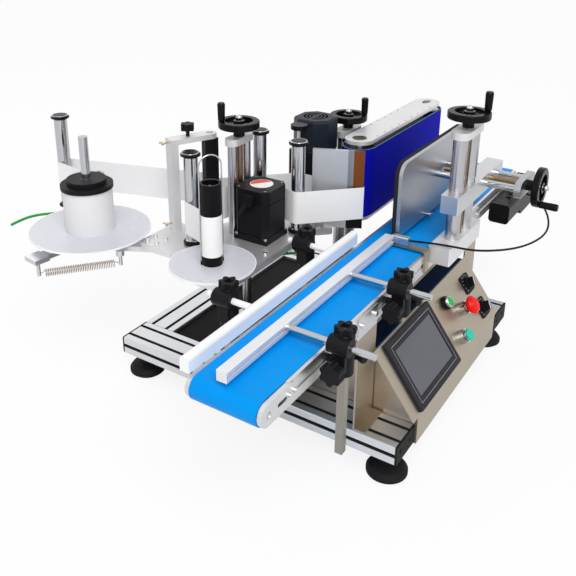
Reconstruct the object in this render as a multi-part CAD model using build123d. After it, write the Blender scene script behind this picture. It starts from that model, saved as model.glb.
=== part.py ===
"""Desktop round-bottle labelling machine: conveyor, wrap belt, press pad and label head on a slotted frame.

Lengths are millimetres and Z is up from the floor. The pieces are laid out from a datum at the near end of
the frame, on its centre line, and are moved to the part's origin, below the middle of its box, when written.
Bottles travel along +X, the operator stands at -Y and the label head is at +Y.
"""

import math
import os

from build123d import *

# Fits shared by the whole machine
RUN = 0.05
SEAT = 0.3
SLIDE_GAP = 0.4
THROUGH = 900.0

# Where the part's origin lies from the datum
ORIGIN_X = 317.0
ORIGIN_Y = 79.0

# Frame of slotted extrusion
BEAM_W = 80.0
BEAM_H = 40.0
BEAM_SLOT = 8.2
BEAM_SLOT_DEPTH = 9.0
BEAM_SLOT_INNER = 15.0
BEAM_LIP = 3.0
FRAME_WIDTH = 672.0
CAP_T = 4.0
FOOT_D = 80.0
FOOT_H = 57.0
FOOT_INSET = 34.0
PAN_T = 3.0
BEAM_TOP = FOOT_H + BEAM_H

# Conveyor
BELT_TOP = 337.0
BELT_W = 124.0
BELT_T = 2.0
BELT_Y = -175.0
CONV_X0 = -308.0
CONV_LENGTH = 1250.0
ROLLER_D = 40.0
ROLLER_JOURNAL = 12.0
RAIL_T = 6.0
RAIL_H = 45.0
RAIL_LIP = 12.0
END_PLATE_T = 8.0
END_PLATE_L = 100.0
LEG_T = 3.0
LEG_W = 74.0
RAIL_Y = BELT_W / 2 + 1.0
RAIL_OUT = RAIL_Y + RAIL_T
CONV_X1 = CONV_X0 + CONV_LENGTH
ROLLER_Z = BELT_TOP - BELT_T - ROLLER_D / 2
RAIL_X0 = CONV_X0 + 80.0
RAIL_X1 = CONV_X1 - 80.0
TAIL_X = CONV_X0 + ROLLER_D / 2 + BELT_T
DRIVE_X = CONV_X1 - ROLLER_D / 2 - BELT_T
FRONT_SIDE = BELT_Y - RAIL_OUT
BACK_SIDE = BELT_Y + RAIL_OUT
MOTOR_LEN = 118.0
MOTOR_SIDE = 50.0
GEAR_DEPTH = 44.0
GEAR_BACK = 92.0
GEAR_AHEAD = 14.0
GEAR_DROP = 62.0
GEAR_RISE = 16.0
MOTOR_DROP = 24.0
MOTOR_STANDOFF = 5.0
GLAND_D = 12.0
GLAND_BACK = 56.0
GLAND_ASIDE = 3.0
GLAND_H = 2.7

# Control cabinet between the beams
CAB_WALL = 2.0
CAB_GAP = 0.3
CAB_END_X = 530.0
PANEL_X = (60.0, 545.0)
PANEL_TOP_Y = -251.0
PANEL_TOP_Z = 235.0
PANEL_SLOPE = 53.5
PANEL_LENGTH = 150.0
CAB_BACK_Y = -60.0
CAB_BOTTOM_Z = 55.0
SCREEN_W = 208.0
SCREEN_H = 144.0
SCREEN_T = 7.0
SCREEN_X = 197.0
SCREEN_S = 76.0
BUTTON_D = 22.0
COLLAR_D = 30.0
COLLAR_T = 3.0
START_AT = (364.0, 40.0)
STOP_AT = (409.0, 76.0)
RESET_AT = (352.0, 118.0)
SPEED_AT = ((488.0, 47.0), (496.0, 113.0))
START_COLLAR = 7.0
RESET_COLLAR = 16.0
STOP_COLLAR = 18.0
STOP_HEAD_D = 40.0
BUTTON_STROKE = 4.0
KNOB_PLATE = 42.0
KNOB_D = 22.0

# Bottle guides and their clamps
GUIDE_SIDE = 20.0
GUIDE_SLOT = 6.0
GUIDE_CLEAR = 8.0
RIGHT_GUIDE_Y = -166.0
RIGHT_GUIDE_X = (-292.0, 296.0)
LEFT_GUIDE_Y = -100.0
LEFT_GUIDE_X = (-300.0, 262.0)
LEFT_GUIDE_W = 18.0
LEFT_GUIDE_H = 28.0
ROD_D = 12.0
POST_SIDE = 14.0
RIGHT_POST_X = (-105.0, 122.0)
RIGHT_POST_Y = -274.0
LEFT_POST_X = (-85.0, 190.0)
LEFT_POST_Y = -28.0
POST_BOTTOM = 136.0
SHORT_POST_BOTTOM = 283.0
POST_RISE = 24.0
CLAMP_W = 34.0
CLAMP_H = 40.0
KNOB_STAR_D = 40.0
KNOB_STAR_H = 18.0
WING_L = 50.0
WING_D = 17.0
KNOB_STEM_D = 8.0
KNOB_STEM_L = 10.0
ROD_TAIL = 62.0

# Lift stands: two columns, a screw between them and a handwheel on top
COLUMN_D = 30.0
SCREW_D = 14.0
TOP_BLOCK_T = 15.0
TOP_BLOCK_W = 30.0
WHEEL_D = 88.0
WHEEL_RIM_W = 14.0
WHEEL_RIM_H = 15.0
WHEEL_NECK = 18.0
WHEEL_HUB_D = 24.0
SPOKE_W = 12.0
SPOKE_T = 6.0
HANDLE_D = 15.0
HANDLE_L = 40.0
NUT_D = 14.0
NUT_H = 12.0

# Press pad stand on the conveyor's front side
PRESS_X = (378.0, 452.0)
PRESS_Y = -271.0
PRESS_BASE = (322.0, 508.0)
PRESS_BASE_W = 38.0
PRESS_BASE_Z = (312.0, 352.0)
PRESS_COLUMN_TOP = 572.0
CARRIAGE_X = (343.0, 632.0)
CARRIAGE_Z = (418.0, 457.0)
CROSS_X = (515.0, 590.0)
CROSS_ROD_D = 16.0
CROSS_END_Y = -356.0
CROSS_END_T = 14.0
PLATE_X = (321.0, 700.0)
PLATE_T = 8.0
PLATE_Z = (349.0, 512.0)
PLATE_CORNER = 28.0
PAD_T = 10.0
PAD_FACE_Y = -158.0
CARRIAGE_NUT_D = 30.0

# Wrap belt unit behind the conveyor
WRAP_FACE_Y = -65.0
WRAP_X = (380.0, 845.0)
WRAP_DEPTH = 78.0
WRAP_Z = (344.0, 504.0)
WRAP_BELT_T = 6.0
WRAP_PLATE_T = 8.0
WRAP_PLATE_GAP = 8.0
WRAP_STAND_X = (478.0, 528.0)
WRAP_STAND_Y = 47.0
WRAP_COLUMN_TOP = 497.0
STAND_FOOT_REACH = 25.0
STAND_FOOT_H = 22.0
FRAME_SPAN = WRAP_STAND_X[1] + STAND_FOOT_REACH + 1.0
WRAP_SLIDE_W = 40.0
WRAP_SLIDE_Z = (395.0, 455.0)
WRAP_MOTOR = (412.0, 84.0)
WRAP_MOTOR_SIDE = 92.0
WRAP_MOTOR_TOP = 555.0
GEARBOX_Z = (417.0, 483.0)

# Label head
HEAD_TOP = 337.0
HEAD_T = 16.0
LABEL_STAND_X = (172.0, 222.0)
LABEL_STAND_Y = 147.0
LABEL_COLUMN_D = 20.0
LABEL_COLUMN_TOP = 538.0
STEPPER = (195.0, 91.0)
STEPPER_SIDE = 86.0
STEPPER_H = 118.0
STEPPER_CHAMFER = 13.0
BOSS_T = 14.0
BOSS_W = 30.0
BOSS_H = 24.0
LEAD_D = 11.0
LEAD_L = 34.0
FEED_AT = (256.0, 35.0)
RETURN_AT = (262.0, 138.0)
ENTRY_AT = (82.0, 187.0)
DANCER_AT = (91.0, 577.0)
POST_AT = (345.0, 88.0)
GUIDE_ROLLER_D = 30.0
ENTRY_TOP = 541.0
FEED_TOP = 546.0
RETURN_TOP = 552.0
DANCER_TOP = 557.0
POST_TOP = 551.0
CAP_D = 42.0
CAP_H = 10.0
PIN_D = 8.0
TIP_AT = (348.0, -76.0)
PEEL_FOOT = (305.0, 28.0)
PEEL_T = 8.0
PEEL_TOP = 517.0
PEEL_EDGE_L = 28.0
WEB_Z = (361.0, 435.0)
SUPPLY_WEB_Z = (372.0, 446.0)
WEB_T = 0.6
WEB_GAP = 0.3
TAKEUP_AT = (8.0, 80.0)
TAKEUP_DISC_D = 174.0
TAKEUP_CORE_D = 42.0
TAKEUP_TOP = 520.0
DISC_Z = 347.0
DISC_T = 4.0
CLIP_D = 3.0
SUPPLY_AT = (-3.0, 405.0)
SUPPLY_DISC_D = 262.0
SUPPLY_SHAFT_D = 20.0
SUPPLY_TOP = 558.0
LABEL_ROLL_D = 106.0
LABEL_ROLL_H = 95.0
CORE_CLAMP_D = (112.0, 84.0)
CORE_CLAMP_H = (9.0, 11.0)
ARM_W = 46.0
LEVER_T = 10.0
LEVER_W = 26.0
LEVER_TIP = (-138.0, 424.0)
SPRING_POST = (-6.0, 318.0)
SPRING_D = 18.0
SPRING_POST_D = 8.0
SPRING_DROP = 18.0
BRAKE_FOOT = (120.0, 258.0)
BRAKE_END = (194.0, 223.0)
BRAKE_TOP = 548.0
BRAKE_ARM_T = 11.0
BRAKE_KNOB_D = 30.0
PEEL_BASE_D = 56.0
PEEL_BASE_H = 14.0
PEEL_BASE_AT = (312.0, 28.0)
BRAKE_BAR = (32.0, 18.0)
PULLEY_H = 14.0
PULLEY_D = 36.0
FEED_BELT_D = 5.0
HEAD_BOTTOM = HEAD_TOP - HEAD_T

# Cables
SENSOR_CABLE_D = 4.5
CORD_D = 6.0


def box(x: tuple, y: tuple, z: tuple) -> Part:
    """A block between two corners, given as ranges."""
    size = Box(x[1] - x[0], y[1] - y[0], z[1] - z[0])
    return Pos((x[0] + x[1]) / 2, (y[0] + y[1]) / 2, (z[0] + z[1]) / 2) * size


def rod_z(at: tuple, z: tuple, d: float) -> Part:
    """An upright round bar."""
    return Pos(at[0], at[1], (z[0] + z[1]) / 2) * Cylinder(d / 2, z[1] - z[0])


def rod_x(x: tuple, y: float, z: float, d: float) -> Part:
    """A round bar along X."""
    return Pos((x[0] + x[1]) / 2, y, z) * Rot(0, 90, 0) * Cylinder(d / 2, x[1] - x[0])


def rod_y(x: float, y: tuple, z: float, d: float) -> Part:
    """A round bar along Y."""
    return Pos(x, (y[0] + y[1]) / 2, z) * Rot(90, 0, 0) * Cylinder(d / 2, y[1] - y[0])


def oblong(x: tuple, y: float, z: tuple, width: float) -> Part:
    """A flat link along X with round ends, centred on y."""
    plan = SlotOverall(x[1] - x[0], width)
    return Pos((x[0] + x[1]) / 2, y, z[0]) * extrude(plan, z[1] - z[0])


def bar_between(a: tuple, b: tuple, width: float, z: tuple) -> Part:
    """A flat link with round ends about two points."""
    length = math.dist(a, b)
    angle = math.degrees(math.atan2(b[1] - a[1], b[0] - a[0]))
    plan = SlotCenterToCenter(length, width)
    mid = Pos((a[0] + b[0]) / 2, (a[1] + b[1]) / 2, z[0])
    return mid * Rot(0, 0, angle) * extrude(plan, z[1] - z[0])


def slotted_section(width: float, height: float) -> Sketch:
    """The section of a beam: two slots in each wide face, one in each narrow face."""
    lip, inner, depth = BEAM_LIP, BEAM_SLOT_INNER, BEAM_SLOT_DEPTH
    mouth = Pos(0, -lip / 2) * Rectangle(BEAM_SLOT, lip + 0.2)
    throat = Pos(0, -depth) * Trapezoid(inner, depth - lip, 135, rotation=180, align=(Align.CENTER, Align.MAX))
    slot = mouth + throat
    section = fillet(Rectangle(width, height).vertices(), 2)
    quarter = width / 4
    for side in (-quarter, quarter):
        section -= Pos(side, height / 2) * slot
        section -= Pos(side, -height / 2) * Rot(0, 0, 180) * slot
        section -= Pos(side, 0) * Circle(3.4)
    for turn in (90, -90):
        section -= Rot(0, 0, turn) * Pos(0, width / 2) * slot
    return section


def base_nodes() -> dict:
    """Frame beams, their end caps, the feet and the pan between the beams."""
    section = slotted_section(BEAM_W, BEAM_H)
    mid_z = FOOT_H + BEAM_H / 2
    half = FRAME_WIDTH / 2
    cross = Plane((0, -half + CAP_T, mid_z), x_dir=(1, 0, 0), z_dir=(0, 1, 0))
    cross_beam = extrude(cross * section, FRAME_WIDTH - 2 * CAP_T)
    near = Pos(BEAM_W / 2, 0, 0) * cross_beam
    far = Pos(FRAME_SPAN + BEAM_W / 2, 0, 0) * cross_beam
    rear_y = half - BEAM_W / 2
    rear = Plane((BEAM_W, rear_y, mid_z), x_dir=(0, 1, 0), z_dir=(1, 0, 0))
    rear_beam = extrude(rear * section, FRAME_SPAN - BEAM_W)

    cap = extrude(Plane.XZ * fillet(Rectangle(BEAM_W, BEAM_H).vertices(), 3), CAP_T / 2, both=True)
    cap_y = half - CAP_T / 2
    caps = [
        Pos(x + BEAM_W / 2, side * cap_y, mid_z) * cap
        for x in (0, FRAME_SPAN)
        for side in (-1, 1)
    ]

    r = FOOT_D / 2
    profile = make_face(
        Polyline((0, 0), (r - 6, 0), (r, 5), (r, 12), (r - 6, 20), (16, 27), (16, FOOT_H), (0, FOOT_H), close=True)
    )
    foot = revolve(Plane.XZ * profile, Axis.Z)
    feet = [
        Pos(x + BEAM_W / 2, side * (half - FOOT_INSET), 0) * foot
        for x in (0, FRAME_SPAN)
        for side in (-1, 1)
    ]
    pan_y = (CAB_BACK_Y + CAB_GAP, half - BEAM_W)
    pan = box((BEAM_W, FRAME_SPAN), pan_y, (BEAM_TOP - PAN_T - 8, BEAM_TOP - 8))
    return {
        "base_beams": [near, far, rear_beam],
        "feet_and_caps": feet + caps,
        "base_pan": [pan],
    }


def conveyor_nodes() -> dict:
    """Side rails and slider bed, belt, end rollers, end plates, legs and drive motor."""
    rail_z = (BELT_TOP - RAIL_H, BELT_TOP - 1.0)
    rails = []
    for side in (-1, 1):
        web = sorted((side * RAIL_Y, side * RAIL_OUT))
        lip = sorted((side * (RAIL_Y - RAIL_LIP), side * RAIL_OUT))
        rail = box((RAIL_X0, RAIL_X1), tuple(web), rail_z)
        rail += box((RAIL_X0, RAIL_X1), tuple(lip), (rail_z[0] + 12, rail_z[0] + 16))
        groove_y = tuple(sorted((side * (RAIL_OUT - 2.5), side * (RAIL_OUT + 1))))
        rail -= box((RAIL_X0 - 1, RAIL_X1 + 1), groove_y, (rail_z[0] + 18, rail_z[0] + 26))
        rails.append(Pos(0, BELT_Y, 0) * rail)
    bed_z = (BELT_TOP - BELT_T - 6, BELT_TOP - BELT_T)
    bed = box((RAIL_X0, RAIL_X1), (-RAIL_Y, RAIL_Y), bed_z)
    rails.append(Pos(0, BELT_Y, 0) * bed)

    outer = Plane.XZ * SlotOverall(CONV_LENGTH, ROLLER_D + 2 * BELT_T)
    inner = Plane.XZ * SlotOverall(CONV_LENGTH - 2 * BELT_T, ROLLER_D)
    loop = extrude(outer - inner, BELT_W / 2, both=True)
    belt = Pos((CONV_X0 + CONV_X1) / 2, BELT_Y, ROLLER_Z) * loop

    drum_half = BELT_W / 2 + 0.5
    reach = RAIL_Y + END_PLATE_T - 1.0
    drum = rod_y(0, (-drum_half, drum_half), 0, ROLLER_D - 2 * SEAT)
    drum += rod_y(0, (-reach, reach), 0, ROLLER_JOURNAL)
    tail = Pos(TAIL_X, BELT_Y, ROLLER_Z) * drum
    drive = Pos(DRIVE_X, BELT_Y, ROLLER_Z) * drum

    plates = []
    for end, x in ((-1, TAIL_X), (1, DRIVE_X)):
        start = x + end * (ROLLER_D / 2)
        mid = start - end * END_PLATE_L / 2
        plan = Plane.XZ * SlotOverall(END_PLATE_L, ROLLER_D)
        plate = extrude(plan, END_PLATE_T / 2, both=True)
        plate = Pos(mid, 0, ROLLER_Z) * plate
        plate -= rod_y(x, (-END_PLATE_T, END_PLATE_T), ROLLER_Z, ROLLER_JOURNAL + 2 * RUN)
        slot = extrude(Plane.XZ * SlotOverall(26, 7), END_PLATE_T, both=True)
        plate -= Pos(x - end * 38, 0, ROLLER_Z) * slot
        for side in (-1, 1):
            shifted = Pos(0, BELT_Y + side * (RAIL_Y + END_PLATE_T / 2), 0) * plate
            plates.append(shifted - rails[0] - rails[1])
    bolt_x = [TAIL_X + 58, TAIL_X + 74, DRIVE_X - 58, DRIVE_X - 74]
    for x in bolt_x:
        for side in (-1, 1):
            y = BELT_Y + side * (RAIL_Y + END_PLATE_T)
            span = tuple(sorted((y, y + side * 4)))
            plates.append(rod_y(x, span, ROLLER_Z, 9))

    legs = []
    for x in ((BEAM_W - LEG_W) / 2, FRAME_SPAN + (BEAM_W - LEG_W) / 2):
        for side in (-1, 1):
            face = BELT_Y + side * RAIL_OUT
            span = tuple(sorted((face, face + side * LEG_T)))
            foot = tuple(sorted((face, face + side * (LEG_T + 22))))
            leg = box((x, x + LEG_W), span, (BEAM_TOP, BELT_TOP - 6))
            leg += box((x, x + LEG_W), foot, (BEAM_TOP, BEAM_TOP + LEG_T))
            legs.append(leg)
            for along in (0.08, 0.78):
                head = tuple(sorted((face + side * LEG_T, face + side * (LEG_T + 5))))
                legs.append(rod_y(x + along * LEG_W + 5, head, BELT_TOP - RAIL_H / 2, 11))

    outside = FRONT_SIDE - (END_PLATE_T - RAIL_T)
    face = outside - MOTOR_STANDOFF
    gear_x = (DRIVE_X - GEAR_BACK, DRIVE_X + GEAR_AHEAD)
    gear = box(gear_x, (face - GEAR_DEPTH, face), (ROLLER_Z - GEAR_DROP, ROLLER_Z + GEAR_RISE))
    gear = fillet(gear.edges().filter_by(Axis.Y), 8)
    half = MOTOR_SIDE / 2
    axle = (face - GEAR_DEPTH / 2, ROLLER_Z - MOTOR_DROP)
    body = box((gear_x[0] - MOTOR_LEN, gear_x[0]), (axle[0] - half, axle[0] + half), (axle[1] - half, axle[1] + half))
    body = fillet(body.edges().filter_by(Axis.X), 9)
    bracket = box((gear_x[0] + 40, gear_x[1] - 24), (face, outside), (ROLLER_Z - 19, ROLLER_Z - 8))
    gland_at = (gear_x[0] - GLAND_BACK, axle[0] - GLAND_ASIDE)
    body += rod_z(gland_at, (axle[1], axle[1] + half + GLAND_H), GLAND_D)
    motor = [gear + body + bracket]
    return {
        "conveyor_frame": rails + plates + legs,
        "conveyor_belt": [belt],
        "conveyor_tail_roller": [tail],
        "conveyor_drive_roller": [drive],
        "conveyor_motor": motor,
    }


def panel_frame() -> Location:
    """The sloped panel's own frame: X along the panel, Y up the slope, Z out of it."""
    plane = Plane((0, PANEL_TOP_Y, PANEL_TOP_Z), x_dir=(1, 0, 0), z_dir=panel_normal())
    return Location(plane)


def panel_normal() -> tuple:
    """The outward direction of the sloped panel."""
    slope = math.radians(PANEL_SLOPE)
    return (0, -math.sin(slope), math.cos(slope))


def on_panel(at: tuple, lift: float = 0.0) -> Location:
    """A place on the panel: X, the distance down the slope, and a height above it."""
    return panel_frame() * Pos(at[0], -at[1], lift)


def button(diameter: float, height: float, collar: float) -> Part:
    """A push button with its stem, above a collar of its own height."""
    lift = collar + BUTTON_STROKE
    stem = Pos(0, 0, lift / 2) * Cylinder(BUTTON_D / 2 - 2, lift + 4)
    head = Pos(0, 0, lift + height / 2) * Cylinder(diameter / 2, height)
    head = chamfer(head.edges().sort_by(Axis.Z)[-1:], 1.2)
    return stem + head


def cabinet_nodes() -> dict:
    """Sheet cabinet with its sloped panel, screen, buttons and speed knobs."""
    slope = math.radians(PANEL_SLOPE)
    low_y = PANEL_TOP_Y - PANEL_LENGTH * math.cos(slope)
    low_z = PANEL_TOP_Z - PANEL_LENGTH * math.sin(slope)
    top_back = PANEL_TOP_Y + 40
    outline = Polyline(
        (top_back, PANEL_TOP_Z),
        (PANEL_TOP_Y, PANEL_TOP_Z),
        (low_y, low_z),
        (low_y, CAB_BOTTOM_Z),
        (CAB_BACK_Y, CAB_BOTTOM_Z),
        (CAB_BACK_Y, PANEL_TOP_Z - 30),
        (top_back + 30, PANEL_TOP_Z - 30),
        close=True,
    )
    x0 = BEAM_W + CAB_GAP
    length = CAB_END_X - x0
    side = Plane((x0, 0, 0), x_dir=(0, 1, 0), z_dir=(1, 0, 0))
    section = make_face(side * outline)
    shell = extrude(section, length)
    core_plane = Plane((x0 + CAB_WALL, 0, 0), x_dir=(0, 1, 0), z_dir=(1, 0, 0))
    core = extrude(core_plane * offset(make_face(outline), -CAB_WALL), length - 2 * CAB_WALL)
    shell -= core
    middle = sum(PANEL_X) / 2
    sheet = Pos(0, 0, -CAB_WALL) * extrude(Rectangle(PANEL_X[1] - PANEL_X[0], PANEL_LENGTH), CAB_WALL)
    shell += on_panel((middle, PANEL_LENGTH / 2)) * sheet
    holes = [START_AT, STOP_AT, RESET_AT, *SPEED_AT]
    for at in holes:
        shell -= on_panel(at) * Cylinder(BUTTON_D / 2 + 1, 6 * CAB_WALL)

    blank = extrude(fillet(Rectangle(SCREEN_W, SCREEN_H).vertices(), 5), SCREEN_T)
    blank = chamfer(blank.edges().sort_by(Axis.Z)[-8:], 1.5)
    window = Pos(0, 0, SCREEN_T) * Box(SCREEN_W - 36, SCREEN_H - 44, 1.6)
    screen = on_panel((SCREEN_X, SCREEN_S)) * (blank - window)

    collars = []
    for at, height in ((START_AT, START_COLLAR), (RESET_AT, RESET_COLLAR), (STOP_AT, STOP_COLLAR)):
        ring = Cylinder(COLLAR_D / 2, height) - Cylinder(BUTTON_D / 2 - 2 + RUN, height)
        ring = chamfer(ring.edges().sort_by(Axis.Z)[-1:], 0.8)
        collars.append(on_panel(at, height / 2) * ring)
    dial = extrude(fillet(Rectangle(KNOB_PLATE, KNOB_PLATE).vertices(), 4), COLLAR_T)
    dial -= Cylinder(4 + RUN, 6 * COLLAR_T)
    collars += [on_panel(at) * dial for at in SPEED_AT]

    start = on_panel(START_AT) * button(COLLAR_D - 4, 5, START_COLLAR)
    reset = on_panel(RESET_AT) * button(COLLAR_D - 4, 6, RESET_COLLAR)
    lift = STOP_COLLAR + BUTTON_STROKE
    stem = Pos(0, 0, lift / 2) * Cylinder(BUTTON_D / 2 - 2, lift + 6)
    profile = make_face(
        Polyline((0, lift), (13, lift), (STOP_HEAD_D / 2, lift + 9), (STOP_HEAD_D / 2, lift + 13),
                 (14, lift + 19), (0, lift + 20), close=True)
    )
    stop = on_panel(STOP_AT) * (stem + revolve(Plane.XZ * profile, Axis.Z))

    knobs = []
    for at in SPEED_AT:
        shaft = Cylinder(4, 4 * COLLAR_T)
        skirt = Pos(0, 0, COLLAR_T + SEAT + 3) * Cylinder(KNOB_D / 2 + 3, 6)
        grip = Pos(0, 0, COLLAR_T + SEAT + 11) * Box(KNOB_D, KNOB_D / 2.4, 14)
        grip = Rot(0, 0, 60) * fillet(grip.edges().filter_by(Axis.Z), 3)
        knobs.append(on_panel(at) * (shaft + skirt + grip))
    return {
        "control_cabinet": [shell],
        "touch_screen": [screen],
        "panel_bezels": collars,
        "start_button": [start],
        "reset_button": [reset],
        "stop_mushroom": [stop],
        "speed_knob_upper": [knobs[0]],
        "speed_knob_lower": [knobs[1]],
    }


def guide_z() -> tuple:
    """The height range of the slotted bottle guide."""
    low = BELT_TOP + GUIDE_CLEAR
    return (low, low + GUIDE_SIDE)


def star_knob() -> Part:
    """A six-lobed clamping knob on its stem, along +Z from the clamp's face."""
    r = KNOB_STAR_D / 2
    plan = Circle(r * 0.78)
    for k in range(6):
        plan += Rot(0, 0, 60 * k) * Pos(r * 0.72, 0) * Circle(r * 0.28)
    head = Pos(0, 0, KNOB_STEM_L) * extrude(plan, KNOB_STAR_H)
    stem = Pos(0, 0, KNOB_STEM_L / 2) * Cylinder(KNOB_STEM_D / 2, KNOB_STEM_L)
    return stem + head


def wing_knob() -> Part:
    """A wing knob on its stem, along +Z from the clamp's face."""
    stem = Pos(0, 0, KNOB_STEM_L) * Cylinder(WING_D / 2 - 1, 2 * KNOB_STEM_L)
    wing = Pos(0, 0, 2 * KNOB_STEM_L + WING_D / 2 - 3) * Rot(25, 0, 0) * Rot(90, 0, 0) * Cylinder(WING_D / 2, WING_L)
    wing = fillet(wing.edges().filter_by(GeomType.CIRCLE), 4)
    return stem + wing


def post_bar(x: float, y: float, z: tuple, side: float) -> Part:
    """An upright square bar centred on a point."""
    half = side / 2
    return box((x - half, x + half), (y - half, y + half), z)


def rod_place(x: float) -> float:
    """Where the guide rod passes beside a post."""
    return x - POST_SIDE / 2 - ROD_D / 2 - 1.0


def guide_clamp(x: float, post_y: float, rail_y: float, rod_end: int) -> Part:
    """A moulded cross clamp: post bore, guide-rod bore and the stub bore to the rail."""
    rod_height = sum(guide_z()) / 2
    stub_z = BELT_TOP - RAIL_H / 2
    half = CLAMP_W / 2
    rod_at = rod_place(x)
    block = rod_z((x, post_y), (stub_z - CLAMP_H / 2, rod_height + POST_RISE - 6), CLAMP_W)
    block = fillet(block.edges().filter_by(GeomType.CIRCLE), 4)
    block += rod_y(rod_at, (post_y - half - 2, post_y + half + 2), rod_height, ROD_D + 20)
    block += box((x - half - 4, x), (post_y - half + 5, post_y + half - 5), (stub_z - 6, rod_height))
    crown = Circle(half * 0.8)
    for k in range(6):
        crown += Rot(0, 0, 60 * k) * Pos(half * 0.78, 0) * Circle(half * 0.3)
    block += Pos(x, post_y, rod_height + POST_RISE - 7) * extrude(crown, 12)
    well = post_bar(x, post_y, (0, 2 * BELT_TOP), POST_SIDE + 2 * RUN)
    block -= well
    block -= rod_y(rod_at, (post_y - 2 * CLAMP_W, post_y + 2 * CLAMP_W), rod_height, ROD_D + 2 * RUN)
    stub = rod_y(x, tuple(sorted((post_y + rod_end * POST_SIDE / 2, rail_y))), stub_z, ROD_D + 2)
    return block + (stub - well)


def guide_nodes() -> dict:
    """Bottle guides, their rods, posts, clamps and knobs."""
    z = guide_z()
    rod_height = sum(z) / 2
    half = GUIDE_SIDE / 2
    section = fillet(Rectangle(GUIDE_SIDE, GUIDE_SIDE).vertices(), 1.2)
    for turn in (0, 90, 180, 270):
        slot = Pos(0, half - 2) * Rectangle(GUIDE_SLOT, 4.2) + Pos(0, half - 2.9) * Rectangle(GUIDE_SLOT + 3, 2.2)
        section -= Rot(0, 0, turn) * slot
    start = Plane((RIGHT_GUIDE_X[0], RIGHT_GUIDE_Y, rod_height), x_dir=(0, 1, 0), z_dir=(1, 0, 0))
    right = extrude(start * section, RIGHT_GUIDE_X[1] - RIGHT_GUIDE_X[0])
    rods = []
    for x in RIGHT_POST_X:
        rods.append(rod_y(rod_place(x), (RIGHT_POST_Y - ROD_TAIL, RIGHT_GUIDE_Y - half), rod_height, ROD_D))

    crown = LEFT_GUIDE_W / 2
    left_z = (BELT_TOP + GUIDE_CLEAR - 3, BELT_TOP + GUIDE_CLEAR - 3 + LEFT_GUIDE_H)
    left_face = Rectangle(LEFT_GUIDE_W, LEFT_GUIDE_H)
    left_face = fillet(left_face.vertices().group_by(Axis.Y)[-1], crown - 0.5)
    left_plane = Plane((LEFT_GUIDE_X[0], LEFT_GUIDE_Y, sum(left_z) / 2), x_dir=(0, 1, 0), z_dir=(1, 0, 0))
    left = extrude(left_plane * left_face, LEFT_GUIDE_X[1] - LEFT_GUIDE_X[0])

    clamps = [guide_clamp(x, RIGHT_POST_Y, FRONT_SIDE, 1) for x in RIGHT_POST_X]
    clamps += [guide_clamp(x, LEFT_POST_Y, BACK_SIDE, -1) for x in LEFT_POST_X]
    left_reach = (LEFT_GUIDE_Y + LEFT_GUIDE_W / 2, LEFT_POST_Y + CLAMP_W)
    left_rods = [rod_y(rod_place(x), left_reach, rod_height, ROD_D) for x in LEFT_POST_X]

    knobs = {}
    names = ("near", "far")
    for name, x in zip(names, RIGHT_POST_X):
        side = Pos(x - CLAMP_W / 2 - 4, RIGHT_POST_Y, BELT_TOP - RAIL_H / 2 + 2) * Rot(0, -90, 0)
        knobs[f"rod_knob_{name}"] = [side * star_knob()]
        low = Pos(x + CLAMP_W / 2, RIGHT_POST_Y, BELT_TOP - RAIL_H / 2 - 4) * Rot(0, 90, 0)
        knobs[f"post_knob_{name}"] = [low * wing_knob()]
    return {
        "right_guide": [right, *rods],
        "left_guide": [left, *left_rods],
        "guide_clamps": clamps,
        **knobs,
    }


def guide_posts() -> list:
    """The upright posts that carry the bottle guides."""
    z = (POST_BOTTOM, sum(guide_z()) / 2 + POST_RISE)
    short = (SHORT_POST_BOTTOM, z[1])
    posts = [post_bar(x, RIGHT_POST_Y, span, POST_SIDE) for x, span in zip(RIGHT_POST_X, (z, short))]
    return posts + [post_bar(x, LEFT_POST_Y, z, POST_SIDE) for x in LEFT_POST_X]


def handwheel(screw: tuple) -> list:
    """A handwheel about +Z with its hub's foot at z 0, a crank handle, and the screw below it."""
    r = WHEEL_D / 2
    rim_z = (WHEEL_NECK, WHEEL_NECK + WHEEL_RIM_H)
    rim = Pos(0, 0, sum(rim_z) / 2) * (Cylinder(r, WHEEL_RIM_H) - Cylinder(r - WHEEL_RIM_W, WHEEL_RIM_H))
    rim = fillet(rim.edges().filter_by(GeomType.CIRCLE).group_by(SortBy.RADIUS)[-1], 2.5)
    hub = Pos(0, 0, rim_z[1] / 2) * Cylinder(WHEEL_HUB_D / 2, rim_z[1])
    wheel = rim + hub
    for k in range(3):
        spoke = Pos(r / 2, 0, sum(rim_z) / 2 - 1) * Box(r - 6, SPOKE_W, SPOKE_T)
        wheel += Rot(0, 0, 120 * k + 180) * spoke
    wheel -= Cylinder(SCREW_D / 4, 4 * rim_z[1])
    grip = make_face(
        Polyline((0, 0), (HANDLE_D / 2 - 1.5, 0), (HANDLE_D / 2, 3), (HANDLE_D / 2 + 0.8, HANDLE_L - 4),
                 (HANDLE_D / 2 - 1, HANDLE_L), (0, HANDLE_L), close=True)
    )
    grip_at = Pos(-(r - WHEEL_RIM_W / 2), 0, rim_z[1])
    wheel += grip_at * revolve(Plane.XZ * grip, Axis.Z)
    steel = Pos(0, 0, (screw[0] + screw[1]) / 2) * Cylinder(SCREW_D / 2, screw[1] - screw[0])
    steel += Pos(0, 0, rim_z[1] / 2) * Cylinder(SCREW_D / 4, rim_z[1])
    nut = Pos(0, 0, rim_z[1] + NUT_H / 4) * Cylinder(NUT_D / 2, NUT_H / 2)
    nut += Pos(0, 0, rim_z[1] + NUT_H / 2) * Sphere(NUT_D / 2 - 0.6)
    nut -= Pos(0, 0, rim_z[1] - WHEEL_D / 2) * Box(WHEEL_D, WHEEL_D, WHEEL_D)
    return [wheel, steel + nut]


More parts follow.
